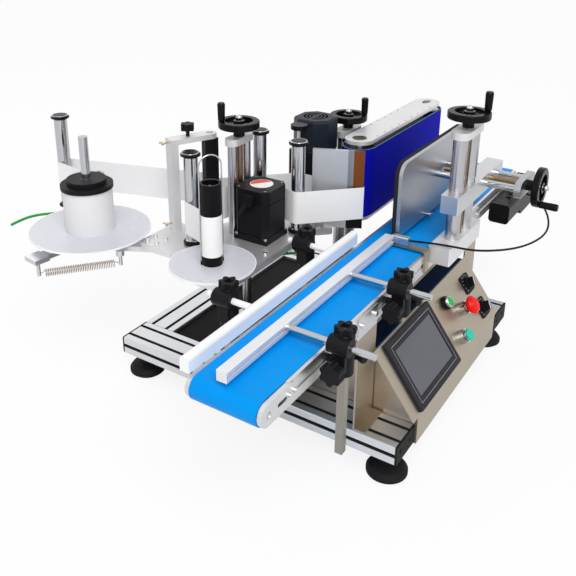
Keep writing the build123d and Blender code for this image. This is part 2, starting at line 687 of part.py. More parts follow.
def lift_stand(x: tuple, y: float, z: tuple, diameter: float) -> tuple:
    """Two columns along X, and the top block that joins them with a bore for the screw."""
    columns = [rod_z((at, y), z, diameter) for at in x]
    mid = sum(x) / 2
    width = TOP_BLOCK_W + diameter - 20
    top = oblong((x[0] - width / 2, x[1] + width / 2), y, (z[1], z[1] + TOP_BLOCK_T), width)
    top -= rod_z((mid, y), (z[1] - 1, z[1] + TOP_BLOCK_T + 1), SCREW_D + 2 * RUN)
    return columns, top


def lift_nodes() -> dict:
    """The columns and fixed blocks of the press, wrap and label stands."""
    columns, press_top = lift_stand(PRESS_X, PRESS_Y, (PRESS_BASE_Z[1], PRESS_COLUMN_TOP), COLUMN_D)
    half = PRESS_BASE_W / 2
    base_y = (PRESS_Y - half, FRONT_SIDE)
    press_base = box(PRESS_BASE, base_y, PRESS_BASE_Z)
    press_base = chamfer(press_base.edges().filter_by(Axis.Z).group_by(Axis.Y)[0], 2)
    pan_top = BEAM_TOP - 8
    blocks = [press_top, press_base]
    stands = (
        (WRAP_STAND_X, WRAP_STAND_Y, WRAP_COLUMN_TOP, COLUMN_D),
        (LABEL_STAND_X, LABEL_STAND_Y, LABEL_COLUMN_TOP, LABEL_COLUMN_D),
    )
    for x, y, top, diameter in stands:
        reach = STAND_FOOT_REACH
        foot = oblong((x[0] - reach, x[1] + reach), y, (pan_top, pan_top + STAND_FOOT_H), 2 * reach)
        posts, block = lift_stand(x, y, (pan_top + STAND_FOOT_H, top), diameter)
        columns += posts
        blocks += [foot, block]
    return {"stand_columns": columns + guide_posts(), "stand_blocks": blocks}


def press_nodes() -> dict:
    """Press carriage, cross slide with plate and pad, handwheels and the bottle sensor."""
    mid = sum(PRESS_X) / 2
    half = PRESS_BASE_W / 2
    span_y = (PRESS_Y - half, PRESS_Y + half)
    carriage = box(CARRIAGE_X, span_y, CARRIAGE_Z)
    carriage = chamfer(carriage.edges().filter_by(Axis.Z), 1.5)
    for x in PRESS_X:
        carriage -= rod_z((x, PRESS_Y), (0, THROUGH), COLUMN_D + 2 * RUN)
    carriage -= rod_z((mid, PRESS_Y), (0, THROUGH), SCREW_D + 2 * RUN)
    rod_height = sum(CARRIAGE_Z) / 2
    cross_mid = sum(CROSS_X) / 2
    for x in CROSS_X:
        carriage -= rod_y(x, (-THROUGH, 0), rod_height, CROSS_ROD_D + 2 * RUN)
    carriage -= rod_y(cross_mid, (-THROUGH, 0), rod_height, SCREW_D + 2 * RUN)

    wheel_z = PRESS_COLUMN_TOP + TOP_BLOCK_T + SEAT
    drop = wheel_z - PRESS_BASE_Z[1] - SEAT
    lift_wheel = [Pos(mid, PRESS_Y, wheel_z) * Rot(0, 0, 124) * s for s in handwheel((-drop, 0.0))]

    plate_y = (PAD_FACE_Y - PAD_T - PLATE_T, PAD_FACE_Y - PAD_T)
    rods = [rod_y(x, (CROSS_END_Y, plate_y[0]), rod_height, CROSS_ROD_D) for x in CROSS_X]
    end_span = (CROSS_X[0] - 20, CROSS_X[1] + 20)
    end_plan = Plane.XZ * SlotOverall(end_span[1] - end_span[0], 38)
    end = Pos(cross_mid, CROSS_END_Y, rod_height) * extrude(end_plan, CROSS_END_T)
    end -= rod_y(cross_mid, (CROSS_END_Y - 2 * CROSS_END_T, CROSS_END_Y + 1), rod_height, SCREW_D + 2 * RUN)

    face = Rectangle(PLATE_X[1] - PLATE_X[0], PLATE_Z[1] - PLATE_Z[0])
    face = fillet(face.vertices().group_by(Axis.Y)[-1], PLATE_CORNER)
    where = Pos(sum(PLATE_X) / 2, plate_y[1], sum(PLATE_Z) / 2)
    plate = where * extrude(Plane.XZ * face, PLATE_T)
    pad = where * Pos(0, PAD_T, 0) * extrude(Plane.XZ * face, PAD_T)

    face_y = CROSS_END_Y - CROSS_END_T - SEAT
    turn = Pos(cross_mid, face_y, rod_height) * Rot(90, 0, 0) * Rot(0, 0, 60)
    reach = face_y - plate_y[0] + 6
    cross_wheel = [turn * s for s in handwheel((reach, 0.0))]

    sensor_x = (RIGHT_GUIDE_X[1] + 2, PLATE_X[0] - 3)
    bracket = box(sensor_x, (FRONT_SIDE, -166.0), (BELT_TOP + 4, BELT_TOP + 8))
    bracket += box(sensor_x, (FRONT_SIDE - 4, FRONT_SIDE), (BELT_TOP - 40, BELT_TOP + 8))
    eye = box((sensor_x[0] + 3, sensor_x[1] - 3), (-206.0, -168.0), (BELT_TOP + 8, BELT_TOP + 26))
    eye = fillet(eye.edges().filter_by(Axis.Y), 3)
    return {
        "press_carriage": [carriage],
        "press_handwheel": lift_wheel,
        "press_slide": [plate, end, *rods],
        "press_pad": [pad],
        "press_cross_handwheel": cross_wheel,
        "bottle_sensor": [bracket + eye],
    }


def wrap_centres() -> tuple:
    """The two roller centres of the wrap belt."""
    r = WRAP_DEPTH / 2
    y = WRAP_FACE_Y + r
    return (WRAP_X[0] + r, y), (WRAP_X[1] - r, y)


def wrap_nodes() -> dict:
    """Wrap belt with its rollers, plates, slide block, motor and lift handwheel."""
    near, far = wrap_centres()
    r = WRAP_DEPTH / 2
    z = WRAP_Z
    mid = ((near[0] + far[0]) / 2, near[1])
    length = far[0] - near[0]
    loop = SlotCenterToCenter(length, WRAP_DEPTH) - SlotCenterToCenter(length, WRAP_DEPTH - 2 * WRAP_BELT_T)
    belt = Pos(mid[0], mid[1], z[0]) * extrude(loop, z[1] - z[0])
    drum_d = WRAP_DEPTH - 2 * WRAP_BELT_T - 2 * SEAT
    plate_low = z[0] - WRAP_PLATE_GAP / 2
    plate_high = z[1] + WRAP_PLATE_GAP
    rollers = []
    for at in (near, far):
        drum = rod_z(at, (z[0] + 2, z[1] - 2), drum_d)
        drum += rod_z(at, (plate_low - WRAP_PLATE_T + 1, plate_high + WRAP_PLATE_T - 1), 15)
        rollers.append(drum)

    frame = []
    for low in (plate_low - WRAP_PLATE_T, plate_high):
        plan = SlotCenterToCenter(length, WRAP_DEPTH - 12)
        plate = Pos(mid[0], mid[1], low) * extrude(plan, WRAP_PLATE_T)
        for at in (near, far):
            plate -= rod_z(at, (low - 1, low + WRAP_PLATE_T + 1), 15 + 2 * RUN)
        if low > z[0]:
            for at, side in ((near, 1), (far, -1)):
                slot = Pos(at[0] + side * 2, at[1], low) * extrude(SlotOverall(40, 16), 3 * WRAP_PLATE_T)
                plate -= Pos(0, 0, WRAP_PLATE_T - 3) * slot
        frame.append(plate)
    spine_y = (near[1] - 14, near[1] + 14)
    spine = box((near[0] + r + 16, far[0] - r - 16), spine_y, (plate_low, plate_high))
    frame.append(spine)

    slide_y = (near[1] + r + SLIDE_GAP, WRAP_STAND_Y + WRAP_SLIDE_W / 2)
    slide_x = (WRAP_STAND_X[0] - 34, WRAP_STAND_X[1] + 34)
    slide = box(slide_x, slide_y, WRAP_SLIDE_Z)
    bridge_y = (near[1] + 8, slide_y[1])
    bridge = box(slide_x, bridge_y, (plate_low - WRAP_PLATE_T - 12, plate_low - WRAP_PLATE_T))
    riser = box(slide_x, (slide_y[0], slide_y[0] + 12), (plate_low - WRAP_PLATE_T, WRAP_SLIDE_Z[0]))
    slide = slide + bridge + riser
    stand_mid = sum(WRAP_STAND_X) / 2
    for x in WRAP_STAND_X:
        slide -= rod_z((x, WRAP_STAND_Y), (0, THROUGH), COLUMN_D + 2 * RUN)
    slide -= rod_z((stand_mid, WRAP_STAND_Y), (0, THROUGH), SCREW_D + 2 * RUN)
    wheel_z = WRAP_COLUMN_TOP + TOP_BLOCK_T + SEAT
    drop = wheel_z - WRAP_SLIDE_Z[0] + 60
    turn = Pos(stand_mid, WRAP_STAND_Y, wheel_z) * Rot(0, 0, 114)
    wheel = [turn * s for s in handwheel((-drop, 0.0))]

    side = WRAP_MOTOR_SIDE
    case = Rectangle(side, side)
    case = fillet(chamfer(case.vertices(), 24).vertices(), 7)
    body = Pos(*WRAP_MOTOR, GEARBOX_Z[1]) * extrude(case, WRAP_MOTOR_TOP - GEARBOX_Z[1])
    body = fillet(body.faces().sort_by(Axis.Z)[-1].edges(), 8)
    for radius in (10, 18, 26):
        ring = Cylinder(radius + 2.2, 8) - Cylinder(radius - 2.2, 8) - Box(2 * side, 6, 9)
        body -= Pos(*WRAP_MOTOR, WRAP_MOTOR_TOP) * ring
    gear_x = (WRAP_MOTOR[0] - side / 2 - 8, slide_x[0])
    gear = box(gear_x, (WRAP_MOTOR[1] - 40, WRAP_MOTOR[1] + 40), GEARBOX_Z)
    gear = chamfer(gear.edges().filter_by(Axis.Z), 4)
    shelf = box((gear_x[0] + 6, slide_x[0]), (WRAP_MOTOR[1] - 40, slide_y[1]), (GEARBOX_Z[0] - 10, GEARBOX_Z[0]))
    return {
        "wrap_frame": [*frame, slide, shelf],
        "wrap_belt": [belt],
        "wrap_near_roller": [rollers[0]],
        "wrap_far_roller": [rollers[1]],
        "wrap_motor": [body, gear],
        "wrap_handwheel": wheel,
    }


def label_roller(at: tuple, foot: float, top: float) -> Part:
    """A guide roller with a flanged cap at each end, turning on a pin in its seat."""
    r = GUIDE_ROLLER_D / 2
    low = foot + SEAT
    cap = CAP_D / 2
    profile = make_face(
        Polyline((0, low), (cap - 5, low), (cap, low + 3), (cap, low + 6), (r, low + CAP_H), (r, top - CAP_H),
                 (cap, top - 7), (cap, top - 4), (cap - 7, top), (0, top), close=True)
    )
    roller = Pos(at[0], at[1], 0) * revolve(Plane.XZ * profile, Axis.Z)
    return roller + rod_z(at, (foot - LEVER_T + 1, low + 1), PIN_D)


def unit(a: tuple, b: tuple) -> tuple:
    """The unit direction from one point to another."""
    d = math.dist(a, b)
    return ((b[0] - a[0]) / d, (b[1] - a[1]) / d)


def tangent(a: tuple, ra: float, b: tuple, rb: float) -> tuple:
    """Ends of the line that leaves circle a on its signed side and meets circle b on its own.

    A positive radius keeps the circle on the left of the line, a negative one on its right.
    """
    d = math.dist(a, b)
    base = math.atan2(b[1] - a[1], b[0] - a[0])
    lean = math.asin((ra - rb) / d)
    angle = base + lean
    nx, ny = math.sin(angle), -math.cos(angle)
    return (a[0] + ra * nx, a[1] + ra * ny), (b[0] + rb * nx, b[1] + rb * ny)


def web_strip(stops: list, z: tuple) -> Part:
    """A thin strip that runs over (centre, signed radius) stops; a zero radius is a plain end or corner."""
    edges = []
    last = None
    for (a, ra), (b, rb) in zip(stops, stops[1:]):
        start, end = tangent(a, ra, b, rb)
        if last is not None and ra:
            first = math.degrees(math.atan2(last[1] - a[1], last[0] - a[0]))
            second = math.degrees(math.atan2(start[1] - a[1], start[0] - a[0]))
            swing = (second - first) % 360
            if ra < 0:
                swing -= 360
            edges.append(CenterArc((*a, 0), abs(ra), first, swing))
        edges.append(Line((*start, 0), (*end, 0)))
        last = end
    path = Wire(edges)
    half = WEB_T / 2
    begin = path % 0
    plane = Plane(path @ 0, x_dir=(-begin.Y, begin.X, 0), z_dir=begin)
    height = z[1] - z[0]
    section = plane * Rectangle(2 * half, height)
    strip = sweep(section, path, transition=Transition.RIGHT)
    return Pos(0, 0, sum(z) / 2) * strip


def head_outline() -> Sketch:
    """The label head's base plate in plan."""
    plan = make_face(
        Polyline((-40, 15), (282, 15), (318, -22), (352, 14), (352, 108), (290, 175), (150, 206), (150, 290),
                 (22, 290), (22, 200), (-40, 120), close=True)
    )
    return fillet(plan.vertices(), 9)


def label_nodes() -> dict:
    """The label head: plate and arm, stepper, rollers, reels, dancer, brake, peel plate and web."""
    z = (HEAD_BOTTOM, HEAD_TOP)
    plate = Pos(0, 0, z[0]) * extrude(head_outline(), HEAD_T)
    stand_mid = sum(LABEL_STAND_X) / 2
    for x in LABEL_STAND_X:
        plate -= rod_z((x, LABEL_STAND_Y), (0, THROUGH), LABEL_COLUMN_D + 2 * RUN)
    plate -= rod_z((stand_mid, LABEL_STAND_Y), (0, THROUGH), SCREW_D + 2 * RUN)
    for at in (FEED_AT, RETURN_AT, ENTRY_AT):
        plate -= rod_z(at, (0, THROUGH), PIN_D + 2 * RUN)
    plate -= rod_z(TAKEUP_AT, (0, THROUGH), 12 + 2 * RUN)

    arm_root = (70.0, 262.0)
    arm_z = (HEAD_BOTTOM - 12.0, HEAD_BOTTOM)
    arm = bar_between(arm_root, SUPPLY_AT, ARM_W, arm_z)
    arm -= rod_z(SUPPLY_AT, (0, THROUGH), SUPPLY_SHAFT_D + 2 * RUN)
    bolts = [rod_z((arm_root[0] + dx, arm_root[1] + dy), (HEAD_TOP, HEAD_TOP + 5), 9)
             for dx, dy in ((-34, -12), (-34, 14), (-8, -14), (-8, 14))]
    spring_z = arm_z[0] - SPRING_DROP
    anchor = rod_z(SPRING_POST, (spring_z - 5, arm_z[0]), SPRING_POST_D)
    lug = bar_between(SPRING_POST, (24.0, 347.0), 18, arm_z)
    arm_solids = [arm + lug, anchor]

    lever_z = (arm_z[1] + SEAT, arm_z[1] + SEAT + LEVER_T)
    lever = bar_between(SUPPLY_AT, DANCER_AT, LEVER_W, lever_z)
    lever += bar_between(SUPPLY_AT, LEVER_TIP, LEVER_W, lever_z)
    lever += rod_z(SUPPLY_AT, lever_z, 44)
    lean_tip = math.degrees(math.atan2(LEVER_TIP[1] - SUPPLY_AT[1], LEVER_TIP[0] - SUPPLY_AT[0]))
    lever += Pos(*LEVER_TIP, sum(lever_z) / 2) * Rot(0, 0, lean_tip) * Box(34, 40, LEVER_T)
    lever -= rod_z(SUPPLY_AT, (0, THROUGH), SUPPLY_SHAFT_D + 2 * RUN)
    lever -= rod_z(DANCER_AT, (0, THROUGH), PIN_D + 2 * RUN)
    tip_post = rod_z(LEVER_TIP, (spring_z - 5, lever_z[0]), SPRING_POST_D)
    toward = unit(LEVER_TIP, SPRING_POST)
    gap = SPRING_POST_D / 2 + SEAT
    a = (LEVER_TIP[0] + gap * toward[0], LEVER_TIP[1] + gap * toward[1])
    b = (SPRING_POST[0] - gap * toward[0], SPRING_POST[1] - gap * toward[1])
    length = math.dist(a, b)
    coil_plane = Plane((*a, spring_z), z_dir=(*toward, 0))
    coil = coil_plane * Pos(0, 0, length / 2) * Cylinder(SPRING_D / 2, length)

    base_z = lever_z[1] + SEAT
    shaft = rod_z(SUPPLY_AT, (arm_z[0], SUPPLY_TOP), SUPPLY_SHAFT_D)
    disc = rod_z(SUPPLY_AT, (DISC_Z, DISC_Z + DISC_T), SUPPLY_DISC_D)
    disc += rod_z(SUPPLY_AT, (base_z, DISC_Z), 60)
    disc -= rod_z(SUPPLY_AT, (0, THROUGH), SUPPLY_SHAFT_D)
    roll_z = (DISC_Z + DISC_T, DISC_Z + DISC_T + LABEL_ROLL_H)
    roll = rod_z(SUPPLY_AT, roll_z, LABEL_ROLL_D) - rod_z(SUPPLY_AT, (0, THROUGH), 76)
    hub = rod_z(SUPPLY_AT, (roll_z[0], roll_z[1]), 75) - rod_z(SUPPLY_AT, (0, THROUGH), SUPPLY_SHAFT_D)
    level = roll_z[1]
    clamp = rod_z(SUPPLY_AT, (level, level + CORE_CLAMP_H[0]), CORE_CLAMP_D[0])
    level += CORE_CLAMP_H[0]
    clamp += rod_z(SUPPLY_AT, (level, level + CORE_CLAMP_H[1]), CORE_CLAMP_D[1])
    clamp -= rod_z(SUPPLY_AT, (0, THROUGH), SUPPLY_SHAFT_D)

    core_r = TAKEUP_CORE_D / 2
    take_disc = rod_z(TAKEUP_AT, (DISC_Z, DISC_Z + DISC_T), TAKEUP_DISC_D) - rod_z(TAKEUP_AT, (0, THROUGH), 12)
    core = rod_z(TAKEUP_AT, (DISC_Z + DISC_T, TAKEUP_TOP), TAKEUP_CORE_D)
    core -= rod_z(TAKEUP_AT, (TAKEUP_TOP - 10, TAKEUP_TOP + 1), TAKEUP_CORE_D - 9)
    core += rod_z(TAKEUP_AT, (HEAD_BOTTOM - PULLEY_H - 4, DISC_Z + DISC_T), 12)
    core += rod_z(TAKEUP_AT, (HEAD_TOP + SEAT, DISC_Z), 40)
    core += rod_z(TAKEUP_AT, (HEAD_BOTTOM - PULLEY_H - 3, HEAD_BOTTOM - 3), PULLEY_D)
    side = core_r + SEAT + CLIP_D / 2
    lean = math.radians(-33)
    ends = [(TAKEUP_AT[0] + s * side * math.cos(lean), TAKEUP_AT[1] + s * side * math.sin(lean)) for s in (1, -1)]
    clip_z = (DISC_Z + DISC_T, TAKEUP_TOP + 32)
    clip = rod_z(ends[0], clip_z, CLIP_D) + rod_z(ends[1], clip_z, CLIP_D)
    bow_plane = Plane((*TAKEUP_AT, clip_z[1]), x_dir=(math.cos(lean), math.sin(lean), 0),
                      z_dir=(math.sin(lean), -math.cos(lean), 0))
    bow = sweep(Plane((*ends[0], clip_z[1]), z_dir=(0, 0, 1)) * Circle(CLIP_D / 2),
                bow_plane * ThreePointArc((side, 0), (0, side), (-side, 0)))
    clip += bow

    half = STEPPER_SIDE / 2
    square = chamfer(Rectangle(STEPPER_SIDE, STEPPER_SIDE).vertices(), STEPPER_CHAMFER)
    motor = Pos(*STEPPER, HEAD_TOP) * extrude(square, STEPPER_H)
    flange = Pos(*STEPPER, HEAD_TOP) * extrude(fillet(Rectangle(STEPPER_SIDE, STEPPER_SIDE).vertices(), 4), 9)
    motor += flange
    for level in (HEAD_TOP + 16, HEAD_TOP + STEPPER_H - 30):
        groove = extrude(Rectangle(STEPPER_SIDE + 2, STEPPER_SIDE + 2) - Rectangle(STEPPER_SIDE - 3, STEPPER_SIDE - 3), 1.6)
        motor -= Pos(*STEPPER, level) * groove
    boss_x = STEPPER[0] - half - BOSS_T
    boss_z = HEAD_TOP + STEPPER_H - BOSS_H - 8
    boss = box((boss_x, STEPPER[0] - half + 4), (STEPPER[1] - BOSS_W / 2, STEPPER[1] + BOSS_W / 2), (boss_z, boss_z + BOSS_H))
    boss = fillet(boss.edges().filter_by(Axis.X), 6)
    boot_plane = Plane((boss_x + LEAD_D / 2, STEPPER[1], boss_z + 8), z_dir=(-0.32, 0.30, -0.90))
    motor += boss + boot_plane * Pos(0, 0, LEAD_L / 2) * Cylinder(LEAD_D / 2, LEAD_L)

    direction = unit(PEEL_FOOT, TIP_AT)
    angle = math.degrees(math.atan2(direction[1], direction[0]))
    reach = math.dist(PEEL_FOOT, TIP_AT)
    blank = Polyline((0, -PEEL_T / 2), (reach - PEEL_EDGE_L, -PEEL_T / 2), (reach, -0.6), (reach, 0.6),
                     (reach - PEEL_EDGE_L, PEEL_T / 2), (0, PEEL_T / 2), close=True)
    peel = Pos(*PEEL_FOOT, HEAD_TOP) * Rot(0, 0, angle) * extrude(make_face(blank), PEEL_TOP - HEAD_TOP)
    swivel = rod_z(PEEL_BASE_AT, (HEAD_TOP, HEAD_TOP + PEEL_BASE_H), PEEL_BASE_D)

    cap_low = POST_TOP - CAP_H
    post = rod_z(POST_AT, (HEAD_TOP, cap_low), PIN_D) + rod_z(POST_AT, (cap_low, POST_TOP), CAP_D - 4)

    turn = math.degrees(math.atan2(BRAKE_END[1] - BRAKE_FOOT[1], BRAKE_END[0] - BRAKE_FOOT[0]))
    reach_b = math.dist(BRAKE_FOOT, BRAKE_END)
    frame_b = Pos(*BRAKE_FOOT, 0) * Rot(0, 0, turn)
    upright = frame_b * box((-16, 0), (-15, 15), (HEAD_TOP, BRAKE_TOP - BRAKE_ARM_T))
    top_plan = Pos((reach_b - 16) / 2, 0) * SlotOverall(reach_b + 16 + 30, 32)
    top = frame_b * (Pos(0, 0, BRAKE_TOP - BRAKE_ARM_T) * extrude(top_plan, BRAKE_ARM_T) - box((-60, -16), (-30, 30), (0, THROUGH)))
    top -= frame_b * Pos(reach_b, 0, BRAKE_TOP) * Cylinder(8, 60)
    knob_at = frame_b * Pos(reach_b * 0.36, 0, 0)
    top -= knob_at * Pos(0, 0, BRAKE_TOP - BRAKE_ARM_T / 2) * Cylinder(4 + RUN, 40)
    bar = frame_b * box((reach_b - BRAKE_BAR[0] / 2, reach_b + BRAKE_BAR[0] / 2), (-BRAKE_BAR[1] / 2, BRAKE_BAR[1] / 2),
                        (HEAD_TOP, BRAKE_TOP - BRAKE_ARM_T))
    knob = Pos(0, 0, BRAKE_TOP + 6) * Cylinder(4, 40)
    r = BRAKE_KNOB_D / 2
    lobes = Circle(r * 0.78)
    for k in range(6):
        lobes += Rot(0, 0, 60 * k) * Pos(r * 0.72, 0) * Circle(r * 0.28)
    knob += Pos(0, 0, BRAKE_TOP + 13) * extrude(lobes, 15)
    knob = knob_at * knob

    wheel_z = LABEL_COLUMN_TOP + TOP_BLOCK_T + SEAT
    drop = wheel_z - HEAD_BOTTOM + 60
    wheel_turn = Pos(stand_mid, LABEL_STAND_Y, wheel_z) * Rot(0, 0, -45)
    wheel = [wheel_turn * s for s in handwheel((-drop, 0.0))]

    seat_r = GUIDE_ROLLER_D / 2 + WEB_GAP + WEB_T / 2
    roll_r = LABEL_ROLL_D / 2 + WEB_GAP + WEB_T / 2
    pin_r = PIN_D / 2 + WEB_GAP + WEB_T / 2
    take_r = core_r + WEB_GAP + WEB_T / 2
    along = (math.cos(math.radians(turn)), math.sin(math.radians(turn)))
    out = BRAKE_BAR[0] / 2 + 2 * WEB_T
    off = BRAKE_BAR[1] / 2 + 2 * WEB_T
    brake_pass = (BRAKE_END[0] + out * along[0] - off * along[1], BRAKE_END[1] + out * along[1] + off * along[0])
    brake_leave = (brake_pass[0] + 2 * WEB_T, brake_pass[1] - 2 * WEB_T)
    supply_web = web_strip([(SUPPLY_AT, roll_r), (DANCER_AT, -seat_r), (brake_pass, 0.0)], SUPPLY_WEB_Z)
    clear = WEB_T / 2 + WEB_GAP + 0.6
    nx, ny = -direction[1] * clear, direction[0] * clear
    tip_out = (TIP_AT[0] + direction[0] * (WEB_GAP + WEB_T), TIP_AT[1] + direction[1] * (WEB_GAP + WEB_T))
    back_tip = (tip_out[0] + nx, tip_out[1] + ny)
    front_tip = (tip_out[0] - nx, tip_out[1] - ny)
    forward = web_strip([(brake_leave, 0.0), (POST_AT, -pin_r), (back_tip, 0.0)], WEB_Z)
    liner = [(front_tip, 0.0), (FEED_AT, -seat_r), (RETURN_AT, seat_r), (ENTRY_AT, seat_r), (TAKEUP_AT, -take_r)]
    back = web_strip(liner, WEB_Z)
    nose = bar_between(back_tip, front_tip, WEB_T, WEB_Z)

    pulley_z = (HEAD_BOTTOM - PULLEY_H - 3, HEAD_BOTTOM - 3)
    lower_z = (pulley_z[0] - PULLEY_H - 2, pulley_z[0] - 2)
    pulley = rod_z(STEPPER, (lower_z[0], pulley_z[1]), PULLEY_D) + rod_z(STEPPER, (pulley_z[1], HEAD_TOP), 12)
    plate -= rod_z(STEPPER, (0, THROUGH), 12 + 2 * RUN)
    belt_r = PULLEY_D / 2 + SEAT + FEED_BELT_D / 2
    run_a, run_b = tangent(TAKEUP_AT, belt_r, STEPPER, belt_r)
    run_c, run_d = tangent(STEPPER, belt_r, TAKEUP_AT, belt_r)
    mid_z = sum(pulley_z) / 2
    belts = [round_run(run_a, run_b, mid_z), round_run(run_c, run_d, mid_z)]
    low_mid = sum(lower_z) / 2
    belts.append(round_run(*tangent(FEED_AT, belt_r, STEPPER, belt_r), low_mid))
    belts.append(round_run(*tangent(STEPPER, belt_r, FEED_AT, belt_r), low_mid))
    feed = label_roller(FEED_AT, HEAD_TOP, FEED_TOP)
    feed += rod_z(FEED_AT, (lower_z[0], HEAD_TOP), PIN_D) + rod_z(FEED_AT, lower_z, PULLEY_D)

    return {
        "label_plate": [plate, post, *arm_solids, *bolts],
        "label_handwheel": wheel,
        "stepper_motor": [motor],
        "feed_belt": belts,
        "stepper_pulley": [pulley],
        "feed_roller": [feed],
        "return_roller": [label_roller(RETURN_AT, HEAD_TOP, RETURN_TOP)],
        "entry_roller": [label_roller(ENTRY_AT, HEAD_TOP, ENTRY_TOP)],
        "peel_plate": [peel + swivel],
        "brake_bracket": [upright + top, bar],
        "brake_knob": [knob],
        "supply_disc": [disc],
        "label_roll": [roll, hub],
        "supply_spindle": [shaft, clamp],
        "dancer_lever": [lever, tip_post],
        "dancer_roller": [label_roller(DANCER_AT, lever_z[1], DANCER_TOP)],
        "dancer_spring": [coil],
        "take_up_disc": [take_disc],
        "take_up_core": [core, clip],
        "supply_web": [supply_web],
        "label_web": [forward, back, nose],
    }


def round_run(a: tuple, b: tuple, z: float) -> Part:
    """A straight stretch of round belt between two points."""
    along = unit(a, b)
    plane = Plane((*a, z), z_dir=(*along, 0))
    length = math.dist(a, b)
    return plane * Pos(0, 0, length / 2) * Cylinder(FEED_BELT_D / 2, length)


def cord(points: list, diameter: float) -> Part:
    """A round cord along straight runs joined by arcs as large as the runs allow."""
    radii = []
    for a, b, c in zip(points, points[1:], points[2:]):
        turn = math.radians((Vector(*b) - Vector(*a)).get_angle(Vector(*c) - Vector(*b)))
        run = min(math.dist(a, b), math.dist(b, c))
        radii.append(0.45 * run / math.tan(turn / 2))
    path = FilletPolyline(*points, radius=radii)
    print("radii", [round(r) for r in radii], "length", round(path.length))
    start = Plane(path @ 0, z_dir=path % 0)
    tube = sweep(start * Circle(diameter / 2), path)
    print("fill", round(tube.volume / (math.pi * diameter**2 / 4 * path.length), 4))
    return tube


SENSOR_CABLE = [
    (310.0, -207.0, 355.0),
    (314.0, -244.0, 359.0),
    (328.0, -286.0, 357.0),
    (358.0, -326.0, 341.0),
    (400.0, -362.0, 331.0),
    (456.0, -388.0, 320.0),
    (520.0, -404.0, 311.0),
    (584.0, -412.0, 306.0),
    (640.0, -408.0, 306.0),
    (690.0, -392.0, 314.0),
    (728.0, -366.0, 327.0),
    (752.0, -332.0, 337.0),
    (764.0, -300.0, 336.0),
    (772.0, -276.0, 322.0),
]

TAIL_CORD = [
    (64.0, 522.0, 334.5),
    (46.0, 548.0, 334.5),
    (26.0, 569.0, 335.0),
    (0.0, 586.0, 336.0),
    (-30.0, 596.0, 335.0),
    (-62.0, 598.0, 331.0),
]


def cord_nodes() -> dict:
    """The sensor's cable and the loose tail of round green cord at the supply reel."""
    return {
        "sensor_cable": [cord(SENSOR_CABLE, SENSOR_CABLE_D)],
        "tail_cord": [cord(TAIL_CORD, CORD_D)],
    }


def main() -> None:
    """Build every node and write one STEP file for each."""
    os.makedirs("parts", exist_ok=True)
    groups = (
        base_nodes,
        conveyor_nodes,
        cabinet_nodes,
        guide_nodes,
        lift_nodes,
        press_nodes,
        wrap_nodes,
        label_nodes,
        cord_nodes,
    )
    home = Pos(-ORIGIN_X, -ORIGIN_Y, 0)
    for group in groups:
        for name, solids in group().items():
            flat = [home * solid for piece in solids for solid in piece.solids()]
            shape = flat[0] if len(flat) == 1 else Compound(children=flat)
            export_step(shape, f"parts/{name}.step")


if __name__ == "__main__":
    main()
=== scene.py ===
"""Looks of a desktop round-bottle labelling machine, dressed over its solid model."""

from __future__ import annotations

import logging
import math
from dataclasses import dataclass
from enum import Enum
from typing import Any, Optional, Protocol, Sequence

import bmesh
import bpy
from mathutils import Matrix, Vector

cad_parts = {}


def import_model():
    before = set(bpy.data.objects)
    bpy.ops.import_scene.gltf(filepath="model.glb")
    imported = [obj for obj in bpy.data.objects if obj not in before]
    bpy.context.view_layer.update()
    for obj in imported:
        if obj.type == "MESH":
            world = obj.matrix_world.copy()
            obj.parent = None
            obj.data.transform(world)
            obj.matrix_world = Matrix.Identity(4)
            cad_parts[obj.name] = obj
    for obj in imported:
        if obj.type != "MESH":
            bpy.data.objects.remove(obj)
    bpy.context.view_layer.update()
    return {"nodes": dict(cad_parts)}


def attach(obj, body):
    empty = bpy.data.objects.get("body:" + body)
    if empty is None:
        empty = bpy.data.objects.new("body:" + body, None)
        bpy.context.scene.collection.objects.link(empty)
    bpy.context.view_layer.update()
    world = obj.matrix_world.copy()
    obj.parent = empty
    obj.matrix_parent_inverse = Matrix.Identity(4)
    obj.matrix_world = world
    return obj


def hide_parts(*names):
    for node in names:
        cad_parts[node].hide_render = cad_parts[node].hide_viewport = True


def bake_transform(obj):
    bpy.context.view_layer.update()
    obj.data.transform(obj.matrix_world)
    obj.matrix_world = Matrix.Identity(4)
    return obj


LOG = logging.getLogger("labelling_machine")

Colour = tuple[float, float, float]
Point = tuple[float, float, float]
Plan = tuple[float, float]
Shape = bmesh.types.BMesh

# The model's origin on the machine, in millimetres
DATUM_X = 317.0
DATUM_Y = 79.0
# Metres past anything that is shown
FAR = 9.0
UP = (0, 0, 1)


def row(x: float, y: float, z: float) -> Point:
    """Turn a place measured on the machine into the model's frame.

    Args:
        x: Millimetres along the conveyor from the near beam.
        y: Millimetres back from the frame's centre line.
        z: Millimetres above the floor.

    Returns:
        The same place in metres.
    """
    return ((x - DATUM_X) / 1000, (y - DATUM_Y) / 1000, z / 1000)


def plan(x: float, y: float) -> Plan:
    """A place seen from above, turned into the model's frame."""
    return row(x, y, 0.0)[:2]


def srgb(red: int, green: int, blue: int) -> Colour:
    """Turn a screen colour of 0 to 255 into a linear one.

    Args:
        red: The red level.
        green: The green level.
        blue: The blue level.

    Returns:
        The linear colour.
    """

    def linear(level: int) -> float:
        """One channel in linear light."""
        share = level / 255
        return share / 12.92 if share <= 0.04045 else ((share + 0.055) / 1.055) ** 2.4

    return (linear(red), linear(green), linear(blue))


def shade(colour: Colour, share: float) -> Colour:
    """A colour made darker or lighter by a share."""
    return tuple(level * share for level in colour)


